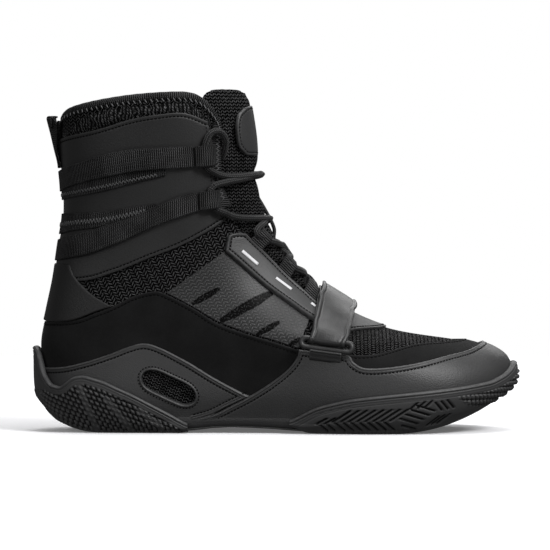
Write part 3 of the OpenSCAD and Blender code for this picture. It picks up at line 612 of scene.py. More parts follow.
def leather(name, tone, rough, pores=1.0, wear_and_highlight=2.0, **sockets):
    m = Shader(name, **sockets)
    grain = m.cells(1150)
    broad = m.noise(38, 3)
    fine_noise = m.noise(2600, 2)
    # Partly edge wear and mostly painted highlight: the leather is painted lighter in patches within about
    # 1.1 mm of its free edges, where the rounded edges catch the light.
    lighter_patches = m.mul(m.step(m.edge, 1.1, 0.0), m.step(m.noise(420, 3), 0.35, 0.7))
    base = m.mix(broad, tone * 0.82, tone * 1.18)
    creases = m.mix(m.step(grain, 0.15, 0.5), tone * 0.8, base)
    colour = m.mix(lighter_patches, creases, tone * wear_and_highlight)
    shine = m.math("MULTIPLY_ADD", broad, 0.16, rough - 0.08)
    return m.finish(colour, shine, (m.add(m.mul(grain, -1.0), m.mul(fine_noise, 0.35)), 0.09 * pores),
                    (m.noise(170, 2), 0.05))


def suede():
    m = Shader("suede", Sheen_Weight=0.05, Sheen_Roughness=0.5, Specular_IOR_Level=0.12)
    nap = m.noise(1800, 5, rough=0.7)
    brushed = m.noise(55, 4)
    colour = m.mix(m.step(brushed, 0.3, 0.75), m.mix(nap, 0.004, 0.010), m.mix(nap, 0.007, 0.015))
    return m.finish(m.mix(m.mul(m.step(m.edge, 1.0, 0.0), 0.6), colour, 0.02), 0.95, (nap, 0.16),
                    (m.noise(520, 3), 0.1))


def herringbone(m, period, pitch, slant, low=0.36, high=0.7, joined=0.12):
    """Height from 0 to 1 of short slanting strands in columns that mirror each other."""
    fold = m.tri(m.s, period)
    loose = m.mul(m.noise(300, 2), 1.1)
    strand = m.wave(m.add(m.add(m.t, loose), m.mul(fold, slant)), pitch)
    ends = m.mul(m.step(fold, 0.02, 0.24), m.step(fold, 0.98, 0.76))
    return m.mul(m.step(strand, low, high), m.math("MULTIPLY_ADD", ends, 1.0 - joined, joined))


def knit(name, dark, light, period=4.9, pitch=2.0, slant=2.1, depth=0.9, rough=0.75):
    m = Shader(name, Sheen_Weight=0.0)
    strand = herringbone(m, period, pitch, slant)
    yarn = m.wave(m.add(m.mul(m.s, 1.6), m.mul(m.t, 2.3)), 0.75)
    lighter_patches = m.step(m.noise(330, 3), 0.3, 0.7)
    top = m.mix(m.mul(m.math("MULTIPLY_ADD", yarn, 0.5, 0.5), lighter_patches), light * 0.4, light * 1.6)
    m.shade(strand, 0.0, 0.35)
    return m.finish(m.mix(strand, dark, top), rough, (m.add(strand, m.mul(yarn, 0.12)), depth))


def rib_knit():
    m = Shader("rib_knit")
    wander = m.mul(m.noise(170, 2), 6.5)
    rib = m.wave(m.add(m.s, wander), 2.3)
    loop = m.wave(m.add(m.t, m.mul(m.tri(m.add(m.s, wander), 2.3), 1.3)), 1.7)
    height = m.mul(m.step(rib, 0.3, 0.75), m.math("MULTIPLY_ADD", m.step(loop, 0.15, 0.75), 0.75, 0.25))
    patchy = m.step(m.noise(420, 4), 0.36, 0.62)
    top = m.mix(patchy, 0.012, 0.12)
    m.shade(height, 0.02, 0.35)
    return m.finish(m.mix(height, 0.004, top), 0.8, (height, 0.7))


def webbing(name="webbing", light=0.03, rib=1.25):
    m = Shader(name)
    ribs = m.step(m.wave(m.add(m.s, m.mul(m.wave(m.t, 2.1), 0.2)), rib), 0.15, 0.7)
    pick = m.wave(m.add(m.t, m.mul(m.tri(m.s, rib), 0.5)), 1.0)
    inner = m.step(m.edge, 0.5, 0.9)
    height = m.add(m.mul(m.mul(ribs, m.math("MULTIPLY_ADD", pick, 0.35, 0.65)), inner),
                   m.mul(m.sub(1.0, inner), m.mul(m.wave(m.s, 0.9), 0.7)))
    patchy = m.math("MULTIPLY_ADD", m.step(m.noise(60, 3), 0.3, 0.7), 0.7, 0.35)
    m.shade(height, 0.03, 0.4)
    return m.finish(m.mix(m.mul(height, patchy), 0.002, light * 2.0), 0.62, (height, 0.4))


def braid(name, dark, light):
    m = Shader(name, Sheen_Weight=0.1)
    left = m.wave(m.add(m.s, m.mul(m.t, 1.15)), 1.5)
    right = m.wave(m.sub(m.s, m.mul(m.t, 1.15)), 1.5)
    strands = m.math("MAXIMUM", m.step(left, 0.35, 0.95), m.step(right, 0.35, 0.95))
    height = m.mul(strands, m.math("MULTIPLY_ADD", m.wave(m.t, 1.45), 0.75, 0.25))
    fibre = m.noise(1900, 2)
    m.shade(height, 0.02, 0.4)
    return m.finish(m.mix(m.mul(height, m.math("MULTIPLY_ADD", fibre, 0.9, 0.5)), dark, light), 0.6,
                    (m.add(height, m.mul(fibre, 0.2)), 0.4))


def film():
    m = Shader("film", Coat_Weight=0.08, Coat_Roughness=0.35)
    emboss = herringbone(m, 4.2, 2.1, 1.3, 0.25, 0.75, 0.5)
    broad = m.noise(60, 3)
    ragged = m.mul(m.sub(m.noise(800, 3), 0.5), 2.2)
    slot = m.node("ShaderNodeAttribute", {"attribute_name": "slot"}).outputs["Fac"]
    inside = m.step(m.add(slot, ragged), 0.15, -0.15)
    mesh_strand = m.mul(m.step(m.noise(700, 3), 0.42, 0.6), herringbone(m, 4.9, 2.0, 2.1))
    face = m.mix(m.mul(emboss, m.math("MULTIPLY_ADD", broad, 0.8, 0.3)), 0.016, 0.042)
    colour = m.mix(inside, face, m.mix(mesh_strand, 0.001, 0.03))
    rough = m.math("MULTIPLY_ADD", inside, 0.4, 0.45)
    m.shade(inside, 0.4, 0.05)
    return m.finish(colour, rough, (m.blend(inside, emboss, mesh_strand), 0.3))


def rubber():
    m = Shader("rubber")
    speck = m.noise(1500, 3)
    broad = m.noise(45, 4)
    # Lighter in patches within 0.6 mm of the rim's top edge.
    lighter_patches = m.mul(m.step(m.edge, 0.6, 0.0), m.step(m.noise(300, 3), 0.3, 0.7))
    # Painted shade: where t, the relief's height, is low, in the grooves and the sunken tread, the rubber is
    # painted near black.
    raised = m.step(m.t, -1.3, 0.1)
    m.shade(raised, 0.05, 0.45)
    colour = m.mix(raised, 0.006, m.mix(lighter_patches, m.mix(broad, 0.034, 0.048), 0.09))
    return m.finish(colour, m.math("MULTIPLY_ADD", broad, 0.14, 0.5), (speck, 0.05))


def thread(name, tone):
    m = Shader(name, Specular_IOR_Level=0.1)
    ply = m.wave(m.add(m.s, m.mul(m.noise(900, 2), 0.6)), 0.5)
    return m.finish(m.mix(ply, tone * 0.5, tone * 1.6), 0.7, (ply, 0.05))


def reflective():
    m = Shader("reflective", Specular_IOR_Level=0.6)
    beads = m.cells(3800)
    return m.finish(m.mix(m.mul(beads, 1.4), 0.85, 0.6), 0.38, (beads, 0.03))


def fuzz(name, tone):
    m = Shader(name, Sheen_Weight=0.3)
    hooks = m.cells(1100)
    return m.finish(m.mix(hooks, tone * 2.2, tone * 0.4), 0.9, (m.add(hooks, m.noise(2400, 3)), 0.4))


def mesh_lining(name, tone):
    m = Shader(name, Sheen_Weight=0.15)
    hole = m.mul(m.wave(m.s, 1.6), m.wave(m.t, 1.6))
    fibre = m.noise(1400, 3)
    return m.finish(m.mix(m.mul(m.step(hole, 0.55, 0.15), fibre), tone * 0.35, tone * 1.8), 0.85,
                    (m.sub(fibre, hole), 0.25))


def plastic(name, tone, rough=0.35):
    m = Shader(name)
    speck = m.noise(2200, 2)
    broad = m.noise(120, 3)
    return m.finish(m.mix(broad, tone * 0.85, tone * 1.2), m.math("MULTIPLY_ADD", broad, 0.15, rough),
                    (speck, 0.02))


def board(name, tone, scale=900):
    m = Shader(name)
    fibre = m.noise(scale, 5, rough=0.7)
    dark = (*(0.7 * t for t in tone), 1)
    return m.finish(m.mix(fibre, dark, (*tone, 1)), 0.85, (fibre, 0.15))


MESH = knit("vamp_knit", 0.0005, 0.042, 4.6, 2.1, 1.9, 1.3)
KNIT = knit("quarter_knit", 0.0015, 0.056)
VENT = knit("vent_knit", 0.001, 0.05, 3.0, 1.7, 1.3)
TONGUE_KNIT = knit("tongue_knit", 0.001, 0.06, 3.9, 2.05, 1.5)
CUFF = rib_knit()
SUEDE = suede()
LEATHER = leather("leather", 0.03, 0.48)
LEATHER_DARK = leather("leather_dark", 0.01, 0.52, Specular_IOR_Level=0.35)
ANKLE = leather("ankle_leather_finish", 0.016, 0.52, pores=0.7, Specular_IOR_Level=0.4)
STRAP = leather("strap_leather", 0.018, 0.42, pores=0.8)
FILM = film()
RUBBER = rubber()
WEBBING = webbing()
LOOP_TAPE = webbing("loop_webbing", 0.04, 1.3)
BRAID = braid("lace_braid", 0.001, 0.055)
THREAD = thread("thread", 0.0012)
THREAD_LIGHT = thread("thread_light", 0.12)
REFLECTIVE = reflective()
HOOK = fuzz("hook_tape", 0.012)
LOOP = fuzz("loop_tape", 0.01)
LINING = mesh_lining("lining", 0.018)
PLASTIC = plastic("loop_plastic_finish", 0.022)
BOARD = board("fibre_board", (0.05, 0.046, 0.04))
STIFFENER = board("stiffener_sheet", (0.55, 0.52, 0.47), 400)
FOAM = board("collar_foam_cells", (0.5, 0.46, 0.3), 1500)
MIDSOLE = plastic("midsole_foam", 0.02, 0.7)

# ---- Outlines ----
FEATHER = 0.0001
vamp_seam = uv([[152, 9], [158, 26], [163, 44], [168, 60], [173, 74]])
throat_low = uv([[173, 74], [163, 84], [151, 96], [139, 108], [126, 121], [114, 134]])
throat_high = uv([[114, 134], [110.5, 144], [109, 156], [108.7, 168], [110, 178], [108.3, 185.3]])
ankle_edge = uv([[0, 95], [29, 95.5], [49, 101], [70, 109.5], [91, 118], [114, 134]])
binding_line = uv([[16, 188], [21, 192.7], [36, 196.7], [58, 200.2], [80, 202], [94, 202], [101.5, 199.2],
                   [107.5, 193.3], [111.3, 187], [112.6, 181.5]])
collar_top = uv([[16, 185.2], [21, 190], [36, 194], [58, 197.5], [80, 199.3], [94, 198.9], [100.4, 195.6],
                 [108.3, 185.3]])
suede_top = uv([[0, 66], [23, 67], [38.8, 72.2], [48.2, 75.9], [59.6, 81.6], [70.1, 84.7], [78.5, 84.2],
                [96.3, 75.3], [111.9, 65.9], [135.9, 57.8], [162, 49.6]])
overlay_top = uv([[0, 39], [17.1, 39.2], [32.2, 42.7], [47.3, 47.7], [57.4, 51.7], [67.4, 54], [77.5, 51.2],
                  [92.6, 43.7], [107.7, 34.6], [122.8, 26.6], [130.5, 23]])
guard_rear = uv([[99, 8.6], [109, 12], [119, 17], [131.5, 23.5], [143.5, 31], [155.4, 41], [160.2, 50.8]])
guard_top = join(uv([[160.2, 50.8], [173, 49], [188.8, 46.7], [192.5, 43], [199, 39.6], [212, 39.4],
                     [230, 41.2], [247, 44.4]]),
                 crown([[0.84, 260], [0.89, 266], [0.945, 269.5], [1, 270.5]]))
toe_mesh_edge = join(uv([[188, 47.3], [202.5, 47], [212.9, 48.7], [223.3, 51.2]]),
                     crown([[0.785, 233], [0.83, 243], [0.88, 251.5], [0.94, 257.8], [1, 260]]))


def welt(d):
    """Two raised lines along a moulded edge, then a groove for the stitches."""
    lines = 0.5 * bump(d, 0.95, 0.6) + 0.32 * bump(d, 2.15, 0.45)
    return lines - 0.3 * bump(d, 3.15, 0.4) - 0.22 * bump(d, 1.6, 0.25)


def stitch_groove(at, depth=0.25):
    return lambda d: -depth * bump(d, at, 0.45)


# ---- Knitted base ----
vamp_high = join(uv([[174.5, 73]]), crown([[0.86, 184], [0.93, 188], [1, 190]]))
vamp_low = np.array([[u, FEATHER] for u in np.linspace(0.53, 1, 7)])
vamp_side = join([[0.53, FEATHER]], uv([[160, 26], [165, 44], [170, 60], [174.5, 73]]))
panel("vamp", front_patch(vamp_low, vamp_high, vamp_side), 0, -1.2, MESH, ["vamp_mesh"],
      lay=by_crown, edges="b")

quarter_low = np.array([[u, FEATHER] for u in np.linspace(0.002, 0.52, 7)])
quarter_seam = join([quarter_low[-1]], vamp_seam[1:], throat_low[1:])
quarter_back = np.array([[0.002, FEATHER], [0.002, 0.25], [0.002, ankle_edge[0][1]]])
quarter_high = join([[0.002, ankle_edge[0][1]]], ankle_edge[1:])
for side, grid in both(quarter_low, quarter_high, quarter_back, quarter_seam):
    panel("quarter_" + side, grid, 0, -1.2, KNIT, ["quarter_mesh_" + side],
          lay=by_side(KNIT_TILT), edges="d" if side == "lateral" else "c")
cuff_low = ankle_edge + [0, 0.004]
cuff_side = np.stack([throat_high[:, 0], throat_high[:, 1] + 0.004 * (1 - throat_high[:, 1])], -1)

# ---- First overlay ----
suede_low = uv([[0, 36], [17.1, 36.2], [32.2, 39.5], [47.3, 44.5], [57.4, 48.5], [67.4, 50.6], [77.5, 48],
                [92.6, 40.5], [107.7, 31.4], [122.8, 23.2], [134, 21.5]])
suede_right = uv([[134, 21.5], [145.5, 29.5], [157, 39.5], [162, 49.6]])
panel("suede", back_patch(suede_low, suede_top, suede_right), OVER1, 0, SUEDE, ["suede_panel"],
      trim="b", profile=stitch_groove(2.0))

ankle_high = uv([[0, 176], [21, 178], [38.8, 182], [59.7, 188.2], [75.3, 191], [91, 192], [105, 187]])
ankle_right = uv([[116, 128], [110.5, 141], [108.5, 156], [108, 172], [105, 187]])
ankle_low = uv([[0, 91], [29, 91], [49, 96.5], [70, 105], [91, 113.5], [116, 128]])
panel("ankle", back_patch(ankle_low, ankle_high, ankle_right, 1.5), OVER1, 0, ANKLE,
      ["ankle_leather"], trim="ab", profile=stitch_groove(2.2, 0.3))

film_low = uv([[80.5, 84.5], [97, 75.9], [112.4, 66.9], [136.4, 58.8], [159.4, 51.6]])
film_high = uv([[115.1, 109], [127, 99.5], [139, 89], [153, 78.6], [166, 69.5]])
film_right = uv([[159.4, 51.6], [163, 60], [166, 69.5]])
film_left = uv([[80.5, 84.5], [98, 96.5], [115.1, 109]])
# The film's slots in the side view: both ends and the half width
SLOTS = [(96.5, 77.8, 111.5, 86.4, 1.9), (114, 68, 143, 83.8, 2.7), (134.4, 59, 147.3, 66.4, 1.7),
         (153.6, 52.8, 160.6, 57, 1.3)]


def slot_distance(q):
    """Distance in mm from the nearest slot of the film, negative inside it, in the side view."""
    x, z = q[..., 0] + HALF_L, q[..., 2]
    best = np.full(x.shape, 9.0)
    for x0, z0, x1, z1, half in SLOTS:
        dx, dz = x1 - x0, z1 - z0
        k = np.clip(((x - x0) * dx + (z - z0) * dz) / (dx * dx + dz * dz), 0, 1)
        gap = np.hypot(x - x0 - k * dx, z - z0 - k * dz)
        best = np.minimum(best, gap - half * np.sin(np.pi * np.clip(k, 0.06, 0.94)) ** 0.3)
    return best


def film_panel(name, grid, node):
    obj = panel(name, grid, 0.55, 0, FILM, [node], round_r=0.4, lay=by_side(KNIT_TILT),
                shape=lambda g, q: -0.4 * step(slot_distance(q), 0.15, -0.25))
    gap = slot_distance(read_points(obj.data) * 1000)
    slot = obj.data.attributes.new("slot", "FLOAT", "POINT")
    slot.data.foreach_set("value", gap.astype(np.float32))


for side, grid in both(film_low, film_high, film_left, film_right, 0.5):
    film_panel("film_" + side, grid, "film_overlay_" + side)

vent_low, vent_high = uv([[62, 31.5], [80, 21], [98, 14]]), uv([[66, 45], [84, 37.5], [102, 26]])
for side, grid in both(vent_low, vent_high):
    panel("vent_" + side, grid, 1.0, 0, VENT, ["vent_mesh_" + side], lay=by_side(VENT_TILT))

toe_low = join(uv([[190, 41.5], [199, 37.3], [212, 37], [230, 38.8], [247, 42]]),
               crown([[0.84, 263], [0.89, 269], [0.945, 272.3], [1, 273.3]]))
panel("toe_band", patch(round_front(toe_low), round_front(toe_mesh_edge)), OVER1, 0, SUEDE,
      ["toe_suede"], edges="bcd", trim="b", profile=stitch_groove(1.8, 0.2))

gusset_low = join(uv([[182, 56.5], [190, 60.3], [197, 61.6]]), crown([[0.9, 209.5], [0.95, 212.2], [1, 213]]))
gusset_high = join(uv([[174.5, 65], [177, 70]]), crown([[0.88, 184], [1, 188]]))
panel("gusset", patch(round_front(gusset_low), round_front(gusset_high)), OVER1, 0, ANKLE,
      ["vamp_gusset"], trim="a", profile=stitch_groove(2.0))

# ---- Second overlay ----
overlay_low = join([[u, 0.004] for u in np.arange(0, 0.401, 0.05)], [[uv([97.5, 8.5])[0], 0.004]])
overlay_right = uv([[97.5, 8.5], [107.7, 12.2], [117.8, 17.2], [130.5, 23]])
# The heel overlay's window in the side view: its middle, turn and half sizes
WINDOW = (82.0, 28.0)
WINDOW_TILT = math.radians(VENT_TILT)
WINDOW_HALF = (17.5, 6.4)


def window_distance(x, z):
    """Distance in mm from the edge of the heel overlay's window, negative inside it, in the side view."""
    c, s = math.cos(WINDOW_TILT), math.sin(WINDOW_TILT)
    a = np.abs((x - WINDOW[0]) * c + (z - WINDOW[1]) * s)
    b = np.abs((z - WINDOW[1]) * c - (x - WINDOW[0]) * s)
    r = WINDOW_HALF[1]
    return np.hypot(np.maximum(a - WINDOW_HALF[0] + r, 0), b) - r


panel("heel_wave", back_patch(overlay_low, overlay_top, overlay_right, 0.9), OVER2, 0, LEATHER,
      ["heel_overlay"], edges="bcd", trim="bcd", profile=welt,
      cut=lambda q: window_distance(q[:, 0] + HALF_L, q[:, 2]) > 1.3)


def window_rim(side):
    """The turned edge of the window: a raised lip that drops to the mesh inside it."""
    out = np.array([-0.6, -0.45, -0.2, 0.1, 0.45, 0.8, 1.15, 1.5, 1.9, 2.3, 2.8, 3.2])
    rise = np.array([-2.2, -1.1, -0.2, 0.32, 0.52, 0.42, 0.1, -0.05, -0.22, -0.2, 0.04, -0.25])
    turn = np.linspace(0, 2 * np.pi, 161)[:-1]
    r, flat = WINDOW_HALF[1], WINDOW_HALF[0] - WINDOW_HALF[1]
    reach = (r + out)[None]
    cos, sin = np.cos(turn)[:, None], np.sin(turn)[:, None]
    a = np.sign(cos) * flat * np.abs(cos) ** 0.2 + reach * cos
    b = reach * sin
    c, s = math.cos(WINDOW_TILT), math.sin(WINDOW_TILT)
    place = uv(np.stack([WINDOW[0] + a * c - b * s, WINDOW[1] + a * s + b * c], -1))
    if side < 0:
        place = place[::-1] * [-1, 1]
    points = lift(place, OVER2 + rise)
    n, m = points.shape[:2]
    closed = np.concatenate([points, points[:1]])
    weave = np.stack([closed[..., 0], closed[..., 2], np.broadcast_to(np.abs(out - 0.45), (n + 1, m))], -1)
    return closed.reshape(-1, 3), grid_faces(n + 1, m)[:, ::-1], weave.reshape(-1, 3), place


rims = [window_rim(side) for side in (1, -1)]
piece("window_rims", merge([r[:3] for r in rims]), LEATHER)

guard_u = guard_rear[0][0]
guard_low = join([[guard_u + (1 - guard_u) * k / 8, 0.002] for k in range(9)])
guard_side = join([[guard_u, 0.002]], guard_rear[1:])
panel("mudguard", front_patch(guard_low, guard_top, guard_side), OVER2, 0, LEATHER,
      ["mudguard"], edges="bcd", trim="bcd", profile=welt)

cap_low = uv([[0, 66.5], [14, 66.3], [25, 67.6], [38, 72.6], [48, 76]])
cap_high = uv([[0, 101], [15.5, 101], [18, 101], [20.5, 101], [22.8, 101]])
cap_right = uv([[48, 76], [37, 82.2], [29.5, 89], [25, 95], [22.8, 101]])
panel("heel_cap", back_patch(cap_low, cap_high, cap_right), OVER2 - 0.5, 0, LEATHER_DARK,
      ["heel_cap"], round_r=0.9)

eyestay_low = uv([[115.6, 109], [126.9, 99], [138.6, 88.5], [152.4, 78.2], [164, 70], [173, 64.5]])
eyestay_high = uv([[127, 119.2], [139, 106.6], [150, 95], [161, 84.6], [167, 79], [176, 71.5]])
stay_top = uv([[115.6, 109], [116.4, 115], [117.5, 118.6], [122, 119.6], [127, 119.2]])


def stay_profile(d):
    return 0.35 * bump(d, 0.8, 0.5) - 0.28 * bump(d, 2.2, 0.4)


for side, grid in both(eyestay_low, eyestay_high, stay_top, None, 0.9):
    panel(f"eyestay_{side}_leather", grid, OVER2, 0, LEATHER, ["eyestay_" + side],
          trim="abcd", profile=stay_profile)

# ---- Sole ----
def ground_z(x):
    return np.where(x < 40, 14.8 * np.clip((40 - x) / 40, 0, 9) ** 2, np.where(
        x < 120, 5 * (np.maximum(x - 88, 0) / 12) ** 2, np.where(
            x < 215, 4.6 * (np.maximum(169 - x, 0) / 14) ** 2, 0.0042 * (x - 215) ** 2)))


# Height of each sole's rim above the ground by u
HEEL_RIM = [[0, 50.5], [0.03, 50.5], [0.06, 48], [0.08, 36], [0.11, 28.5], [0.14, 27], [0.175, 33.5],
            [0.2, 34.4], [0.24, 31], [0.29, 23], [0.35, 11], [0.376, 5.2]]
FORE_RIM = [[0.525, 7.2], [0.54, 11], [0.556, 15.4], [0.576, 18], [0.602, 20.7], [0.633, 22.4], [0.678, 24.2],
            [0.726, 25.9], [0.784, 28], [0.852, 30.6], [0.9, 34.5], [0.96, 40.5], [1, 41.5]]
# Offset of a sole's wall by share of its height, then of its lip by mm above the rim
FLARE = [[0, -1.5], [0.1, 2.2], [0.3, 6.3], [0.65, 6.9], [1, 6.1]]
LIP = [[0.45, 5.6], [0.7, 4.9], [0.6, 4.1], [0.2, 3.4], [-0.6, 3.0], [-2.5, 2.8]]


def segment_distance(x, z, x0, z0, x1, z1):
    dx, dz = x1 - x0, z1 - z0
    k = np.clip(((x - x0) * dx + (z - z0) * dz) / (dx * dx + dz * dz), 0, 1)
    return np.hypot(x - x0 - k * dx, z - z0 - k * dz)


def lugs(a, b, pitch_a, pitch_b, lean=0.25):
    """Height from 0 to 1 of small faceted pyramids in offset rows."""
    row = np.floor(b / pitch_b)
    fa = (a / pitch_a + 0.5 * (row % 2)) % 1 - 0.5
    fb = (b / pitch_b) % 1 - 0.5
    return np.clip(1.15 - np.maximum(2.3 * np.abs(fa + lean * fb), 2.2 * np.abs(fb)), 0, 0.7) / 0.7


def rim_bands(d):
    return (0.5 * bump(d, 0.75, 0.5) - 0.35 * bump(d, 1.6, 0.22) + 0.28 * bump(d, 2.3, 0.35)
            - 0.25 * bump(d, 4.55, 0.25))


def heel_relief(s, x, z, d):
    field = np.clip(step(d, 4.5, 5.0) - step(z, 24, 26) * step(x, 24, 12), 0, 1)
    height = -1.5 + 2.1 * lugs(s, z + 0.35 * s, 3.4, 3.0)
    for x0, z0, x1, z1 in ((27, 31, 38.5, 2), (44.5, 21, 59, 2), (65, 13.5, 78, 3)):
        height = np.maximum(height, -0.1 - 1.3 * step(segment_distance(x, z, x0, z0, x1, z1), 1.5, 2.4))
    return rim_bands(d) + field * height


# Grooves of the forefoot's side: first groove (x0, z0, x1, z1), step to the next, and how many
GROOVES = (((170.5, 6.2, 176.5, 9.6), (5.0, 0.2), 2), ((180.0, 7.4, 190.6, 14.4), (4.9, 0.12), 8),
           ((173, 5.2, 177.2, 1.6), (4.3, 0.35), 2), ((181.8, 6.6, 187.6, 1.9), (4.9, 0.12), 7),
           ((220.4, 9.6, 230.8, 6.4), (3.4, 2.6), 4), ((221.6, 5.4, 229.4, 3.2), (0, 0), 1),
           ((236.4, 5.2, 243.6, 10.8), (3.3, 0.6), 3), ((226.4, 15.4, 230.6, 19.2), (4.4, 0.5), 3),
           ((241.6, 19.2, 245.4, 14.6), (3.6, 0.7), 3))


def fore_relief(s, x, z, d):
    height = np.zeros(x.shape)
    for (x0, z0, x1, z1), (dx, dz), count in GROOVES:
        for k in range(count):
            gap = segment_distance(x, z, x0 + k * dx, z0 + k * dz, x1 + k * dx, z1 + k * dz)
            height = np.minimum(height, -1.2 * step(gap, 0.8, 0.32))
    height = height * step(d, 4.7, 5.1)
    ticks = bump(d, 3.7, 0.4) * (0.5 + 0.5 * np.sin(x * 2 * np.pi / 1.15)) * np.maximum(
        step(x, 168, 171) * step(x, 192, 189), step(x, 221, 224) * step(x, 247, 244))
    floor = np.interp(x, [255, 262, 268, 276, 290], [22, 17.5, 16, 16.5, 20])
    toe = step(d, 4.7, 5.3) * step(x, 255, 257) * step(z, floor - 0.4, floor + 0.6)
    edge = step(z, np.interp(x, [186, 192, 226, 234], [1, 4.2, 5.2, 4]) + 0.3, 0) * step(x, 186, 189)
    bumper = -0.9 + 1.7 * lugs(s, z, 3.5, 3.4, 0.5)
    small = -0.5 + 1.2 * lugs(s, z, 2.9, 2.6, 0.4)
    return rim_bands(d) + (1 - toe) * height - 0.35 * ticks + toe * bumper + (1 - toe) * edge * small


def tread(x, y, centre, pivot):
    """Depth of the tread under the sole: small lugs, with a plain pivot disc ringed by grooves."""
    depth = 1.3 * (1 - lugs(x + 0.3 * y, y, 3.6, 3.4, 0.3))
    r = np.hypot(x - centre[0], y - centre[1])
    ring = 1.1 * step(np.abs((r % 3.4) - 1.7), 0.7, 0.3)
    return np.where(r < pivot, ring, depth)


WALL_ROWS = 72
MIDDLE_ROW = 40


def sole(name, node, rim, u0, u1, relief, centre, pivot):
    u = np.linspace(u0, u1, 460)
    at = np.abs(np.where(u > 1, u - 2, u))
    top = np.interp(at, [r[0] for r in rim], [r[1] for r in rim])
    soft = np.exp(-0.5 * (np.arange(-8, 9) / 3.2) ** 2)
    top = np.convolve(np.pad(top, 8, "edge"), soft / soft.sum(), "valid")
    foot = ground_z(surf(np.stack([u, np.zeros(len(u))], -1))[:, 0] + HALF_L)
    share = np.linspace(0, 1, WALL_ROWS)
    rows = [(foot + (top - foot) * k, np.full(len(u), d)) for k, d in zip(share, spline(
        [f[1] for f in FLARE], np.interp(share, [f[0] for f in FLARE], range(len(FLARE)))))]
    rows += [(top + dz, np.full(len(u), d)) for dz, d in LIP]
    z, d = (np.stack([r[i] for r in rows], 1) for i in (0, 1))
    v = np.linspace(0, 0.55, 110)
    uu, vv = np.meshgrid(u, v, indexing="ij")
    base, out = surf(np.stack([uu, vv], -1)), normal(np.stack([uu, vv], -1))
    over = base[:, None, :, 2] + d[:, :, None] * out[:, None, :, 2] - z[:, :, None]
    k = np.clip(np.argmax(over > 0, axis=2), 1, len(v) - 1)
    i = np.arange(len(u))[:, None]
    j = np.arange(z.shape[1])[None]
    f = np.clip(over[i, j, k - 1] / (over[i, j, k - 1] - over[i, j, k]), 0, 1)[..., None]
    wall = ((base[i, k - 1] + out[i, k - 1] * d[..., None]) * (1 - f)
            + (base[i, k] + out[i, k] * d[..., None]) * f)
    wall[..., 2] = z
    n, m = z.shape
    rim_gap = nearest(wall, dense(wall[:, WALL_ROWS - 1], 0.4))
    s = run(wall[:, MIDDLE_ROW])
    s = np.broadcast_to((s - s[n // 2])[:, None], (n, m))
    row = np.arange(m)
    height = relief(s, wall[..., 0] + HALF_L, z, rim_gap) * (row < WALL_ROWS) * step(row, 0, 3)
    points = wall + grid_normals(wall) * height[..., None]
    points[..., 2] = np.maximum(points[..., 2], 0)
    # The relief's height goes into the weave's t, which paints shade into the rubber's grooves.
    weave = np.stack([s, height, rim_gap], -1)
    half = n // 2
    q = np.linspace(0, 1, 90)[None, :, None]
    under = points[:half, :1] * (1 - q) + points[::-1][:half, :1] * q
    wide = np.linalg.norm(points[:half, 0] - points[::-1][:half, 0], axis=-1)[:, None]
    side_gap = np.minimum(q[..., 0], 1 - q[..., 0]) * wide
    rise = tread(under[..., 0], under[..., 1], centre, pivot) * step(side_gap, 0.4, 1.6)
    under[..., 2] += rise
    ends = points[0][None] * (1 - q[0][:, None]) + points[-1][None] * q[0][:, None]
    parts = [(points.reshape(-1, 3), grid_faces(n, m), weave.reshape(-1, 3))]
    for sheet, sunk in ((under, rise), (ends, np.zeros(ends.shape[:2]))):
        faces = grid_faces(*sheet.shape[:2])
        # The tread's sunk depth goes in as a low t, which paints shade into its grooves.
        place = np.stack([sheet[..., 0], -sunk, np.full(sunk.shape, INSIDE)], -1)
        parts.append((sheet.reshape(-1, 3), faces[:, ::-1], place.reshape(-1, 3)))
    piece(name, merge(parts), RUBBER, stands_for=[node])


sole("heel_sole", "heel_outsole", HEEL_RIM, -0.376, 0.376, heel_relief, (-108, 0), 16)
sole("fore_sole", "forefoot_outsole", FORE_RIM, 0.525, 1.475, fore_relief, (48, 4), 21)


def arch_wrap():
    """The leather that turns under the boot between the two soles."""
    u = np.linspace(0.33, 0.56, 60)
    x = surf(np.stack([u, np.zeros(60)], -1))[:, 0] + HALF_L
    low = np.interp(x, [84, 97, 108, 118, 130, 142, 156, 170], [0.9, 1.8, 3.2, 3.7, 3.5, 2.9, 1.9, 1.0])
    rows = []
    for side in (1, -1):
        foot = np.stack([side * u, np.zeros(60)], -1)
        edge, away = surf(foot), normal(foot)
        away[:, 2] = 0
        away = unit(away)
        up = lift(np.stack([side * u, np.full(60, 0.02)], -1), 2.2)
        turn = edge + away * 2.4
        turn[:, 2] = low + (edge[:, 2] - low) * 0.7
        under = edge + away * 0.6
        under[:, 2] = low + (edge[:, 2] - low) * 0.2
        flat = edge - away * 4.5
        flat[:, 2] = low
        rows.append(np.stack([up, turn, under, flat], 1))
    ring = np.concatenate([rows[0], rows[1][:, ::-1]], 1)
    g = np.stack([spline(r, np.linspace(0, 7, 90)) for r in ring])
    return ribbon(g[:, ::-1], 0.8)


piece("arch_cover", arch_wrap(), LEATHER)


def floor_sheet(u0, u1, d, z0, z1, n, m):
    """Closed sheet across the boot, from z0 to z1 above the feather edge."""
    u = np.linspace(u0, u1, n)
    left = lift(np.stack([u, np.zeros(n)], -1), d)
    right = lift(np.stack([-u, np.zeros(n)], -1), d)
    q = np.linspace(0, 1, m)[None, :, None]
    g = left[:, None] * (1 - q) + right[:, None] * q
    feather = surf(np.stack([u, np.zeros(n)], -1))[:, 2]
    g[..., 2] = (feather + (z0 + z1) / 2)[:, None]
    return ribbon(g, z1 - z0, (z1 - z0) * 0.6)


piece("midsole_sheet", floor_sheet(0.05, 0.95, -0.6, -2.2, -0.4, 160, 40), MIDSOLE,
      stands_for=["midsole"])

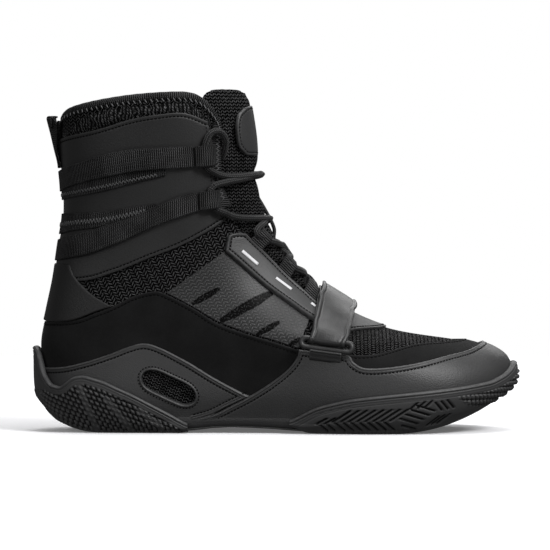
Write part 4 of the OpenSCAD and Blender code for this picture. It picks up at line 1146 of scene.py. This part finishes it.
# ---- Inside ----
points, faces, weave = floor_sheet(0.08, 0.92, -4.5, 2.3, 5.3, 160, 40)
rim = weave[:, 2]
points[:, 2] += 0.9 * (1 - step(rim, 0, 6)) * (points[:, 2] > np.median(points[:, 2]) - 9)
piece("footbed", (points, faces, weave), LINING, stands_for=["sockliner"])
rear_low = np.array([[u, 0.022] for u in np.linspace(0, 0.52, 5)])
rear_seam = join([[0.52, 0.022]], vamp_seam[1:], throat_low[1:], throat_high[1:])
piece("rear_lining_cloth", ribbon(lift(back_patch(rear_low, collar_top, rear_seam, 2.0), -3.3), 0.8),
      LINING, stands_for=["rear_lining"])


# ---- Ankle straps ----
# Thickness of the webbing, the offsets of the straps and their backing, and the tacks' place from each end
WEB_T = 0.9
ANKLE_OUT, BACKING_OUT = 3.6, 2.05
TACK = 12.9


def cross(width):
    """Shares across a band."""
    return fine(width, 1.1)


def strap_band(low, high, ends, middle_d, gap=0.8, dip=0.0):
    """Grid of a band between two (u, v) lines.
    ends is [(mm from the end, offset), ...] from the flat run outwards."""
    low, high = line(low), line(high)
    length = (run(surf(low))[-1] + run(surf(high))[-1]) / 2
    if ends:
        curve = spline(np.array(ends), np.linspace(0, len(ends) - 1, 10 * (len(ends) - 1) + 1))
        flat = np.arange(ends[0][0], length - ends[0][0], gap)
        far = np.concatenate([curve[::-1, 0], flat[1:], length - curve[:, 0]])
        middle = middle_d - dip * bump(flat[1:], length / 2, 24)
        d = np.concatenate([curve[::-1, 1], middle, curve[:, 1]])
    else:
        far = np.arange(0, length + gap / 2, gap)
        d = np.full(len(far), middle_d)
    shares = np.clip(far / length, 0, 1)
    q = cross(np.linalg.norm(surf(low[len(low) // 2]) - surf(high[len(high) // 2])))
    a, b = along(low, shares), along(high, shares)
    grid = a[:, None] * (1 - q[None, :, None]) + b[:, None] * q[None, :, None]
    return grid, lift(grid, d[:, None])


# The strap's end, which folds back under itself past its tack
FOLD = [(26, 3.6), (19, 3.55), (14.5, 3.3), (12.8, 3.1), (11.4, 3.9), (9.4, 5.6), (6.6, 6.75), (3.6, 6.5),
        (1.2, 5.3), (0.15, 3.9), (0.6, 2.6), (2.4, 2.0), (5, 1.95)]
STRAPS = {
    "lower": ([[0, 102.6], [28.3, 105.6], [44, 110.8], [59.7, 117.6], [75.4, 125], [91, 130.7], [102, 133.8],
               [111.5, 134.9]],
              [[0, 115.4], [28.3, 119.2], [44, 124.4], [59.7, 129.7], [75.4, 137], [91, 143.3], [100, 145],
               [110.5, 146.4]],
              [[0, 118.5], [28, 121.5], [44, 124], [60, 128], [74, 132]],
              [[0, 131.3], [28, 132], [44, 133.2], [60, 136], [74, 138]]),
    "upper": ([[0, 144.8], [28.3, 149.5], [44, 153.7], [59.7, 156.8], [75.4, 158.4], [90, 159.2], [100, 160],
               [108.5, 161]],
              [[0, 157.4], [28.3, 162], [44, 167.3], [59.7, 170.4], [75.4, 171.5], [90, 172.2], [99, 172.6],
               [108, 173]],
              [[0, 139.6], [28, 142], [44, 145.3], [60, 149.5], [80, 154.5]],
              [[0, 151], [28, 154], [44, 156.5], [60, 159], [80, 160.5]])}
backing_stitches = []
tacks = []
for which, (low, high, under_low, under_high) in STRAPS.items():
    low, high = round_back(uv(low)), round_back(uv(high))
    grid, g = strap_band(low, high, FOLD, ANKLE_OUT, dip=1.5 if which == "lower" else 0.6)
    piece("ankle_webbing_" + which, ribbon(g, WEB_T), WEBBING,
          stands_for=["ankle_strap_" + which])
    length = (run(surf(line(low)))[-1] + run(surf(line(high)))[-1]) / 2
    for share in (TACK / length, 1 - TACK / length):
        a, b = along(line(low), [share])[0], along(line(high), [share])[0]
        row = np.linspace(a, b, 60)[3:-3]
        tacks.append(zigzag(row, 3.75, 1.0, 1.7, 0.5))
    grid, g = strap_band(round_back(uv(under_low)), round_back(uv(under_high)), None, BACKING_OUT)
    piece("backing_webbing_" + which, ribbon(g, WEB_T), WEBBING,
          stands_for=["strap_backing_" + which])
    middle = grid[:, grid.shape[1] // 2] + (grid[:, 0] - grid[:, -1]) * (0.04 if which == "lower" else 0.26)
    backing_stitches.append(zigzag(middle[6:-6], 2.65, 2.1, 3.0 if which == "lower" else 2.0))
piece("backing_stitches", merge(backing_stitches), THREAD_LIGHT)
piece("strap_tacks", merge(tacks), THREAD)


# ---- Eyestay loops and dashes ----
def on_eyestay(r, q):
    a, b = line(eyestay_low), line(eyestay_high)
    return along(a, r) * (1 - q)[:, None] + along(b, r) * q[:, None]


# Section of an eyestay tape: place across the eyestay's edge, and offset
LOOP_FOLD = np.array([(0, 2.2), (0.12, 2.6), (0.25, 3.9), (0.42, 5.6), (0.62, 7.2), (0.82, 7.5), (0.96, 6.6),
                      (1.02, 5.2), (0.97, 3.7), (0.85, 3.0), (0.7, 2.9)])
loops = []
for r0 in (0.06, 0.41, 0.72):
    curve = spline(LOOP_FOLD, np.linspace(0, len(LOOP_FOLD) - 1, 70))
    q = cross(9.0)
    r = r0 + 0.145 * q
    grid = np.stack([on_eyestay(r, np.full(len(r), 0.86 + 0.72 * c)) for c in curve[:, 0]])
    for flip in (False, True):
        g = mirrored(grid) if flip else grid
        h = lift(g, curve[:, 1:])
        loops.append(ribbon(h if flip else h[:, ::-1], 0.85))
piece("eyestay_tapes", merge(loops), LOOP_TAPE, stands_for=["eyestay_loops"])

dashes = []
# Each strip's ends and width in the side view
STRIPS = ((124.8, 108.6, 134.2, 100.2, 1.8), (145, 91.8, 154.4, 84.4, 1.4), (166.4, 75.8, 169, 73.8, 1.2))
for x0, z0, x1, z1, wide in STRIPS:
    k = np.linspace(0, 1, 14)[:, None]
    turn = math.atan2(z1 - z0, x1 - x0)
    aside = np.linspace(-wide / 2, wide / 2, 6)[None]
    grid = uv(np.stack([x0 + (x1 - x0) * k - aside * math.sin(turn),
                        z0 + (z1 - z0) * k + aside * math.cos(turn)], -1))
    for flip in (False, True):
        g = mirrored(grid) if flip else grid
        h = lift(g, OVER2 + 0.2)
        dashes.append(ribbon(h[::-1] if flip else h, 0.4, 0.25))
piece("reflective_strips", merge(dashes), REFLECTIVE, stands_for=["reflective_dashes"])

# ---- Lace ----
IN_TAPE = 4.05
IN_LOOP = 5.3
# The lace's runs round the loops of one side: points [x, height, offset], then the height where the run
# crosses the front
LACE_RUNS = [
    ([[115, 165, -2.4], [115.2, 170, 0.8], [114.3, 176, 3.6], [110.5, 180.6, 4.8], [105.6, 180.2, 4.8],
      [103, 175.8, 4.5], [102, 170, IN_TAPE], [102.5, 163, IN_TAPE],
      [106, 157.6, IN_TAPE], [118, 153.8, 2.4]], 155),
    ([[114, 150.5, 4], [106, 146.8, IN_TAPE], [105.5, 141, IN_TAPE], [107.5, 135.5, IN_TAPE], [113, 132.2, 5],
      [124, 129, 2.2]], 127.5),
    ([[136, 124.5, 3.2], [131.5, 119.5, IN_LOOP], [136.5, 114.5, IN_LOOP], [146, 111.5, 2.8]], 110.5),
    ([[152, 103.8, 3.4], [149.2, 101, IN_LOOP], [154.4, 95.4, IN_LOOP], [162, 92.4, 2.7]], 90),
    ([[167, 86.6, 3.0], [168, 84.8, 3.2]], 84.6)]
LACE_UNDER, LACE_OVER = 0.1, 3.2


def front_x(z):
    v = np.linspace(0.3, 0.98, 200)
    f = spline(FRONT, v * 10)
    return np.interp(z, f[:, 1], f[:, 0])


def lace_half(start, over):
    rows = []
    for k, (points, z) in enumerate(LACE_RUNS):
        side = start if k % 2 == 0 else -start
        p = np.array(points, float)
        at = uv(p[:, :2])
        rows.append(np.column_stack([at[:, 0] if side > 0 else 2 - at[:, 0], at[:, 1], p[:, 2]]))
        if k < len(LACE_RUNS) - 1:
            d = LACE_OVER if k % 2 == over else LACE_UNDER
            rows.append(np.array([[*crown([[1, front_x(z)]])[0], d]]))
    return np.concatenate(rows)


bar = np.array([[*crown([[1, front_x(84.6)]])[0], LACE_UNDER]])
route = np.concatenate([lace_half(1, 0), bar, lace_half(-1, 1)[::-1]])
route = spline(route, np.linspace(0, len(route) - 1, (len(route) - 1) * 14 + 1))
path, out = resampled(lift(route[:, :2], route[:, 2]), LACE_STEP, normal(route[:, :2]))


def lace_relief(s, a):
    return 1 + 0.075 * np.cos(4 * a + 0.25 * np.sin(s * 0.5)) + 0.03 * np.cos(2 * np.pi * s / 1.5 + 2 * a)


# A slack arc of lace beside the tongue: heights and offsets
SLACK = ((142, -0.6), (137, 1.4), (131, 3.0), (125, 4.2), (120, 4.0), (116, 1.6), (113, -0.4))
SLACK_R = 1.15
slack = np.array([[*(crown([[1, front_x(z)]])[0] + (0.05, 0)), d] for z, d in SLACK])
slack = spline(slack, np.linspace(0, len(SLACK) - 1, 90))
slack_path, slack_out = resampled(lift(slack[:, :2], slack[:, 2]), LACE_STEP, normal(slack[:, :2]))
piece("laces", merge([tube(path, out, LACE_R, 20, lace_relief), tube(slack_path, slack_out, SLACK_R)]),
      BRAID, stands_for=["lace"])

# ---- Tongue ----
tongue_side = uv([[172, 66], [156, 79], [142, 91], [128, 103], [115, 115], [106, 127], [101, 142], [100, 158],
                  [100, 174], [101, 188], [103.5, 199]])
tongue_low = join([tongue_side[0]], crown([[0.88, 182], [1, 186]]))
tongue_high = join([tongue_side[-1]], uv([[107, 204.6], [112, 207.6], [118, 208.8], [124, 208.3]]),
                   [[1, uv([[128, 206.2]])[0][1]]])


def tongue_shape(grid):
    """Height of the tongue's outer face: its sides tuck in behind the collar, and the laces press into it."""
    q = surf(grid)
    share = run(q)
    share = share / share[-1]
    pressed = ((0.4, 90), (1.0, 110.5), (1.1, 127.5), (1.1, 155))
    pinch = sum(deep * bump(q[..., 2], z, 4.0) for deep, z in pressed)
    full = step(q[..., 2], 205, 160) * step(q[..., 2], 70, 80)
    inland = step(np.minimum(share, 1 - share), 0.12, 0.34)
    return (spline([-5.4, -5.4, -3.6, -1.0, 0, -1.0, -3.6, -5.4, -5.4], share * 8)
            + (1.3 * full + 0.9 * bump(q[..., 2], 87, 7) - pinch) * inland)


def slab(grid, outer, inner):
    """Closed points and faces between two offsets."""
    n, m = grid.shape[:2]
    base, out = surf(grid), normal(grid)
    points = [(base + out * np.asarray(d)[..., None]).reshape(-1, 3) for d in (outer, inner)]
    return np.concatenate(points), closed_faces(n, m)


# The cloth simulation's scale, pressure and number of frames
PAD_SCALE = 8.0
PRESSURE = 4.0
CLOTH_FRAMES = 20


def puffed(name, points, faces, voxel, cap, material, slot, body, stands_for):
    """A padded piece: remeshed, then swollen by a cloth simulation at PAD_SCALE times its size.
    No point moves more than cap. Sizes are in mm."""
    size = PAD_SCALE * 0.001
    mesh = bpy.data.meshes.new(name)
    mesh.from_pydata((points * size).tolist(), [], faces.tolist())
    obj = linked(name, mesh)
    bpy.context.view_layer.objects.active = obj
    obj.select_set(True)
    remesh = obj.modifiers.new("Remesh", "REMESH")
    remesh.mode = "VOXEL"
    remesh.voxel_size = voxel * size
    bpy.ops.object.modifier_apply(modifier="Remesh")
    mesh = obj.data
    rest = read_points(mesh)
    moved = rest
    cloth = obj.modifiers.new("Cloth", "CLOTH")
    cloth.settings.use_pressure = True
    cloth.settings.uniform_pressure_force = PRESSURE
    cloth.settings.effector_weights.gravity = 0
    scene = bpy.context.scene
    for f in range(1, CLOTH_FRAMES + 1):
        scene.frame_set(f)
    evaluated = obj.evaluated_get(bpy.context.evaluated_depsgraph_get())
    moved = read_points(evaluated.data)
    obj.modifiers.remove(cloth)
    scene.frame_set(1)
    shift = moved - rest
    far = np.linalg.norm(shift, axis=1, keepdims=True)
    shift = shift * np.minimum(1, cap * size / np.maximum(far, 1e-9))
    mesh.vertices.foreach_set("co", ((rest + shift) / size * 0.001).ravel())
    mesh.update()
    smooth = obj.modifiers.new("Smooth", "SMOOTH")
    smooth.iterations = 3
    bpy.ops.object.modifier_apply(modifier="Smooth")
    soft = obj.modifiers.new("Subdivision", "SUBSURF")
    soft.levels = 1
    bpy.ops.object.modifier_apply(modifier="Subdivision")
    obj.select_set(False)
    mesh = obj.data
    mesh.polygons.foreach_set("use_smooth", [True] * len(mesh.polygons))
    mesh.materials.append(material)
    if body:
        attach(obj, body)
    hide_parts(*stands_for)
    return obj


def set_weave(obj, lay):
    s, t = lay(read_points(obj.data) * 1000)
    weave = obj.data.attributes.new("weave", "FLOAT_VECTOR", "POINT")
    weave.data.foreach_set("vector", np.stack([s, t, np.full(len(s), INSIDE)], -1).astype(np.float32).ravel())


tongue_grid = front_patch(tongue_low, tongue_high, tongue_side, 1.5)
tongue_outer = tongue_shape(tongue_grid)
tongue = puffed("tongue_pad", *slab(tongue_grid, tongue_outer - 0.6, tongue_outer - 3.4), 1.5, 1.1,
                TONGUE_KNIT, "knit_grey", None, ["tongue", "tongue_flap"])
front_line = surf(np.stack([np.ones(120), np.linspace(0.2, 1, 120)], -1))


def by_tongue(q):
    """Fabric laid up the tongue."""
    ahead = np.interp(q[:, 2], front_line[:, 2], front_line[:, 0])
    turn = np.arctan2(q[:, 1] - MID_Y, q[:, 0] - ahead + 26)
    return turn * 30, np.interp(q[:, 2], front_line[:, 2], run(front_line))


set_weave(tongue, by_tongue)
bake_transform(tongue)

label_side = uv([[127.4, 167.2], [123.6, 172.5], [122.2, 182], [123.2, 190.5], [126.6, 194.8]])
label_low = join(uv([[127.4, 167.2], [130, 166.7]]), [[1, uv([[134, 166.8]])[0][1]]])
label_high = join(uv([[126.6, 194.8], [128.5, 196]]), [[1, uv([[131, 196.6]])[0][1]]])
label_grid = front_patch(label_low, label_high, label_side, 1.0)
panel("tongue_patch", label_grid, 1.7, -0.5, LEATHER, ["tongue_label"], body="tongue_flap",
      trim="abcd", profile=stitch_groove(1.7, 0.25), round_r=0.9)
label_edges = [inset(line(round_front(label_low)), 1.7), inset(line(round_front(label_high)), -1.7),
               inset(line(label_side), -1.7), inset(line(over_front(label_side)), 1.7)]
piece("patch_stitches", merge([seam(row, 1.5, 2.0, 1.4, 0.6) for row in label_edges]), THREAD,
      body="tongue_flap")

# ---- Collar ----
cuff_band = uv([[0, 174], [21, 176], [38.8, 180], [59.7, 186.2], [75.3, 189], [91, 190], [103, 186]])
cuff_grid = patch(round_back(cuff_band), round_back(collar_top), cell=1.5)
collar = puffed("collar_pad", *slab(cuff_grid, -0.3, -2.6), 1.6, 1.5, CUFF, "knit_grey", "boot",
                ["cuff_knit"])
COLLAR_X = 82
ring = spline(round_back(collar_top), np.linspace(0, 2 * len(collar_top) - 2, 400))
ring_points = surf(ring)
ring_run = run(ring_points)
ring_run = ring_run - ring_run[200]


def by_collar(q):
    """Fabric laid round the collar."""
    around, turn = (np.arctan2(p[..., 1] - MID_Y, -(p[..., 0] + COLLAR_X)) for p in (ring_points, q))
    order = np.argsort(around)
    return np.interp(turn, around[order], ring_run[order]), q[:, 2]


set_weave(collar, by_collar)
cuff_high = join(uv([[16, 187.5], [21, 192], [36, 196], [58, 199.4], [80, 201.2], [94, 201], [101, 198.2],
                     [107, 192.3], [110.8, 186.5]]))
cuff_front = join(cuff_side[:-1], uv([[111.6, 178.5]]), [cuff_high[-1]])
panel("cuff_base", back_patch(cuff_low, cuff_high, cuff_front), -0.6, -1.2, KNIT, [], edges="cd")

throat_inner = uv([[119.5, 137], [115.4, 146], [113.6, 156], [113.2, 168], [113.6, 176], [113.4, 182.5]])
throat_stitches = []
for side in (1, -1):
    low, high = throat_inner, uv([[110, 132], [107.5, 144], [106, 156], [106, 168], [107, 178], [109, 187]])
    grid = patch(low, high) if side > 0 else patch(mirrored(low)[::-1], mirrored(high)[::-1])
    piece_name = "throat_binding_" + ("lateral" if side > 0 else "medial")
    panel(piece_name, grid, 1.0, -2.2, WEBBING, [], round_r=1.3)
    middle = (line(throat_inner) * 0.62 + line(high) * 0.38) * [side, 1]
    throat_stitches.append(zigzag(middle[10:-12], 1.15, 2.6, 2.6, 0.5))
piece("throat_stitches", merge(throat_stitches), THREAD_LIGHT)

roll = spline(round_back(binding_line), np.linspace(0, 2 * len(binding_line) - 2, 900))
ROLL_R = 2.3


def roll_relief(s, a):
    return 1 + 0.12 * np.abs(np.cos(a)) + 0.02 * np.sin(s * 0.9)


path, out = resampled(lift(roll, -1.7), 0.6, normal(roll))
piece("collar_roll", tube(path, out, ROLL_R, 20, roll_relief), WEBBING,
      stands_for=["collar_binding"])
r = run(path)
k = np.arange(4, r[-1] - 4, 3.3)
up = np.array([0, 0, 1.0])
across = sample(k, r, out)
a = sample(k, r, path) + unit(across - up * 0.5) * 2.6
b = sample(k + 1.4, r, path) + sample(k + 1.4, r, out) * 3.2 - up * 3.2
piece("collar_stitches", threads(a, b, across, 0.7, 0.1), THREAD_LIGHT)

# ---- Strap loop and instep strap ----
loop_uv = uv([176.5, 50.6])
loop_z = normal(loop_uv)
loop_y = unit(np.cross(loop_z, surf(uv([187, 49.2])) - surf(uv([166, 52]))))
loop_x = np.cross(loop_y, loop_z)
loop_o = surf(loop_uv)
BAR_GAP, BAR_L, WIRE_R, STRAP_W, STRAP_T, STRAP_LOW = 8.4, 22.0, 1.6, 23.0, 1.2, 3.5
FOLD_R = WIRE_R + 0.35
BAR_OUT = STRAP_LOW + STRAP_T + FOLD_R


def in_loop(x, y, z):
    return loop_o + np.multiply.outer(x, loop_x) + np.multiply.outer(y, loop_y) + np.multiply.outer(z, loop_z)


def wire_relief(s, a):
    return 1 + 0.05 * np.cos(4 * a)


BAR_HIGH, BAR_LOW = BAR_GAP / 2, -1.2
turn_r, turn_y = (BAR_HIGH - BAR_LOW) / 2, (BAR_HIGH + BAR_LOW) / 2
a = np.linspace(-np.pi / 2, np.pi / 2, 26)
bars = np.linspace(-BAR_L / 2, BAR_L / 2, 24)[1:-1]
turn_x = BAR_L / 2 + (BAR_GAP / 2 - turn_r) + turn_r * np.cos(a)
x = np.concatenate([bars, turn_x, bars[::-1], -turn_x])
y = np.concatenate([np.full(22, BAR_LOW), turn_y + turn_r * np.sin(a), np.full(22, BAR_HIGH),
                    turn_y - turn_r * np.sin(a)])
path = in_loop(x, y, np.full(len(x), BAR_OUT))
across = np.broadcast_to(loop_z, path.shape)
piece("loop_frame", tube(path, across, WIRE_R, 20, wire_relief, closed=True), PLASTIC,
      stands_for=["strap_loop"])

a = np.linspace(math.radians(-185), math.radians(95), 40)
keep = FOLD_R + 0.45
y = np.concatenate([BAR_LOW - np.array([6.4, 4.9, 3.1]), BAR_LOW + keep * np.sin(a[8:])])
z = np.concatenate([[1.6, 2.9, 4.0], BAR_OUT - keep * np.cos(a[8:])])
KEEPER_W, KEEPER_T = 19.0, 0.9
q = cross(KEEPER_W)
across = (q * KEEPER_W - KEEPER_W / 2)[None]
g = in_loop(np.zeros(len(y))[:, None] + across, y[:, None] + 0 * q[None], z[:, None] + 0 * q[None])
piece("keeper_tab", ribbon(g, KEEPER_T), LEATHER, stands_for=["loop_keeper"])

strap_front = join(uv([[187.8, 51.4], [189.2, 55.5], [190.2, 60], [190.8, 64.5], [191.3, 67.6]]),
                   crown([[1, 191.5]]))
strap_rear = join(uv([[166.3, 55.2], [167.5, 60.9], [168.5, 68.3], [169.3, 74.8], [169.8, 79.9]]),
                  crown([[1, 170]]))
front, rear = round_front(strap_front), round_front(strap_rear)


def strap_grid(k0, k1, d, gap=0.7, margin=0.0):
    """Grid over the instep between shares k0 and k1 of the strap's run from the loop, at offsets d(share)."""
    length = run(surf(line(front)))[-1] * (k1 - k0)
    k = np.linspace(k0, k1, int(length / gap))
    a = spline(front, k * (len(front) - 1))
    b = spline(rear, k * (len(rear) - 1))
    q = margin + (1 - 2 * margin) * cross(STRAP_W)
    grid = a[:, None] * (1 - q)[None, :, None] + b[:, None] * q[None, :, None]
    return lift(grid, d(k)[:, None])


def rolled(side):
    """The strap's rolled edges, each with a groove beside it."""
    return 0.4 * bump(side, 1.25, 0.9) - 0.35 * bump(side, 2.75, 0.35) + 0.35 * step(side, 3.2, 9)


def strap_offset(k):
    return 4.1 + 0.2 * step(k, 0.1, 0)


base_strap = ribbon(strap_grid(0.0, 1.0, strap_offset), STRAP_T)
fold = FOLD_R + STRAP_T / 2


def strap_turn(start, end, steps, extra=0.0):
    """The strap round the loop's upper bar, by angle from its inner side."""
    turn = np.linspace(math.radians(start), math.radians(end), steps)
    q = cross(STRAP_W)[None]
    r = fold + extra
    return in_loop((0.5 - q) * 21.5 + 0 * turn[:, None], BAR_HIGH - r * np.sin(turn)[:, None] + 0 * q,
                   BAR_OUT - r * np.cos(turn)[:, None] + 0 * q)


piece("strap_base", merge([base_strap, ribbon(strap_turn(0, 120, 24), STRAP_T)]), STRAP,
      stands_for=["instep_strap"])


def flap_offset(k):
    return 7.5 + spline([1.85, 1.35, 0.8, 0.4, 0.15, 0, 0, 0, 0, 0], k / 0.8 * 9)


g = np.concatenate([strap_turn(88, 165, 20, 0.08), strap_grid(0.045, 0.8, flap_offset)])
piece("strap_top", ribbon(g, STRAP_T, 0.6, rolled), STRAP, body="strap_flap",
      stands_for=["strap_flap"])
piece("loop_tape_patch", ribbon(strap_grid(0.34, 0.78, lambda k: 5.35 + 0 * k, margin=0.06), 0.7, 0.3),
      LOOP, stands_for=["loop_patch"])
piece("hook_tape_patch", ribbon(strap_grid(0.36, 0.76, lambda k: 6.35 + 0 * k, margin=0.06), 0.7, 0.3),
      HOOK, body="strap_flap", stands_for=["hook_patch"])

# ---- Pull tab ----
tab_foot = surf(uv([16, 159.5]))
# The loop of the tab from its foot, over its top and down inside, as [mm to the front, mm up]
TAB = [(-1.4, -0.5), (-2.1, 4), (-3.9, 11), (-6.0, 20), (-7.8, 27), (-8.3, 29.6), (-7.4, 30.5), (-6.5, 29.3),
       (-6.0, 24)]
TAB_W = 16.5
TAB_POINTS = 90
curve = spline(np.array(TAB), np.linspace(0, len(TAB) - 1, TAB_POINTS))
w = (cross(TAB_W) * TAB_W - TAB_W / 2)[None]
inner = step(np.linspace(0, 1, TAB_POINTS), 0.76, 0.9)
bow = w**2 * (0.01 + 0.062 * step(curve[:, 1], 4, 26) * (1 - inner))[:, None]
g = np.stack([tab_foot[0] - 1.4 + curve[:, :1] + bow, MID_Y + w + 0 * bow,
              tab_foot[2] + curve[:, 1:] + 0 * bow], -1)
piece("pull_loop", ribbon(g[:, ::-1], 1.1), WEBBING, body="pull_tab",
      stands_for=["pull_tab"])

# A thick strip of webbing fills the gap between the tab and the shaft
BACKING_T = 3.4
u = np.linspace(-0.034, 0.034, 18)
v = np.linspace(uv([16, 160.5])[1], uv([16, 187.6])[1], 60)
grid = np.stack(np.meshgrid(u, v, indexing="xy"), -1)
rise = spline([-0.3, 0.2, 0.7, 1.0, 1.1, 1.25, 0.8], np.linspace(0, 6, 60))
piece("tab_backing", ribbon(lift(grid, rise[:, None]), BACKING_T), WEBBING)

# ---- Stitch rows ----
# Rows round the back or front: edge, distance from it, offset and pitch
ROWS = ((round_back(suede_top), -2.0, OVER1 - 0.15, 2.3), (round_back(ankle_high), -2.2, OVER1 - 0.2, 2.2),
        (round_back(ankle_low), 2.2, OVER1 - 0.2, 2.2), (round_back(overlay_top), -3.15, OVER2 - 0.2, 2.1),
        (round_front(guard_top), -3.15, OVER2 - 0.2, 2.2),
        (round_front(toe_mesh_edge), -1.8, OVER1 - 0.1, 2.4),
        (round_front(gusset_low), 2.0, OVER1 - 0.1, 2.3))
# Rows that repeat on the medial side
SIDE_ROWS = ((guard_side, -3.15, OVER2 - 0.2, 2.2), (overlay_right, 3.15, OVER2 - 0.2, 2.1),
             (suede_right, 2.0, OVER1 - 0.15, 2.3), (ankle_right, 2.2, OVER1 - 0.2, 2.2),
             (eyestay_low, 2.2, OVER2 - 0.15, 2.1), (eyestay_high, -2.2, OVER2 - 0.15, 2.1),
             (stay_top, -2.2, OVER2 - 0.15, 2.1))
dark = [seam(inset(line(curve), gap), height, pitch) for curve, gap, height, pitch in ROWS]
for curve, gap, height, pitch in SIDE_ROWS:
    dark.append(seam(inset(line(curve), gap), height, pitch))
    dark.append(seam(inset(mirrored(line(curve)), -gap), height, pitch))
for *_, place in rims:
    row = np.concatenate([place[:, 8], place[:1, 8]])
    dark.append(seam(row, OVER2 - 0.1, 1.9, 1.25))
piece("seams", merge(dark), THREAD)

# ---- Carried-over CAD nodes ----
for node, material in (("insole_board", BOARD), ("heel_counter", STIFFENER), ("toe_puff", STIFFENER),
                       ("vamp_lining", LINING), ("collar_foam", FOAM)):
    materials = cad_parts[node].data.materials
    materials.clear()
    materials.append(material)

# ---- Studio ----
bpy.ops.mesh.primitive_plane_add(size=1.9)
floor = bpy.context.object
floor.name = "floor"
floor.visible_diffuse = False
floor.visible_glossy = False
paper = Shader("paper", Specular_IOR_Level=0.1, Emission_Color=(1, 1, 1, 1), Emission_Strength=0.12)
tone = paper.mix(paper.noise(3, 2), 0.93, 0.95)
floor.data.materials.append(paper.finish(tone, 0.9, (paper.noise(300, 3), 0.1)))


def area_light(name, place, size, power, aim=(0, 0, 0.09)):
    lamp = bpy.data.lights.new(name, "AREA")
    lamp.shape = "RECTANGLE"
    lamp.size, lamp.size_y = size
    lamp.energy = power
    obj = linked(name, lamp)
    obj.location = place
    obj.rotation_euler = (Vector(aim) - Vector(place)).to_track_quat("-Z", "Y").to_euler()


area_light("bounce", (0.0, -0.24, 0.005), (0.4, 0.1), 0.11, (0.01, -0.03, 0.015))
area_light("key", (1.0, -0.9, 1.25), (0.7, 0.7), 26)
area_light("top", (0.1, 0.1, 1.6), (1.4, 0.9), 16)
area_light("fill", (-1.1, -1.3, 0.7), (1.0, 1.0), 5)
area_light("back", (0.2, 1.3, 0.9), (1.4, 0.7), 8)

world = bpy.data.worlds.new("studio")
bpy.context.scene.world = world
world.use_nodes = True
sky = world.node_tree
sky.nodes["Background"].inputs["Color"].default_value = (1, 1, 1, 1)
path = sky.nodes.new("ShaderNodeLightPath")
level = sky.nodes.new("ShaderNodeMapRange")
level.inputs["To Min"].default_value = 0.13
level.inputs["To Max"].default_value = 1.0
sky.links.new(path.outputs["Is Camera Ray"], level.inputs["Value"])
sky.links.new(level.outputs["Result"], sky.nodes["Background"].inputs["Strength"])
bpy.context.scene.view_settings.view_transform = "Standard"
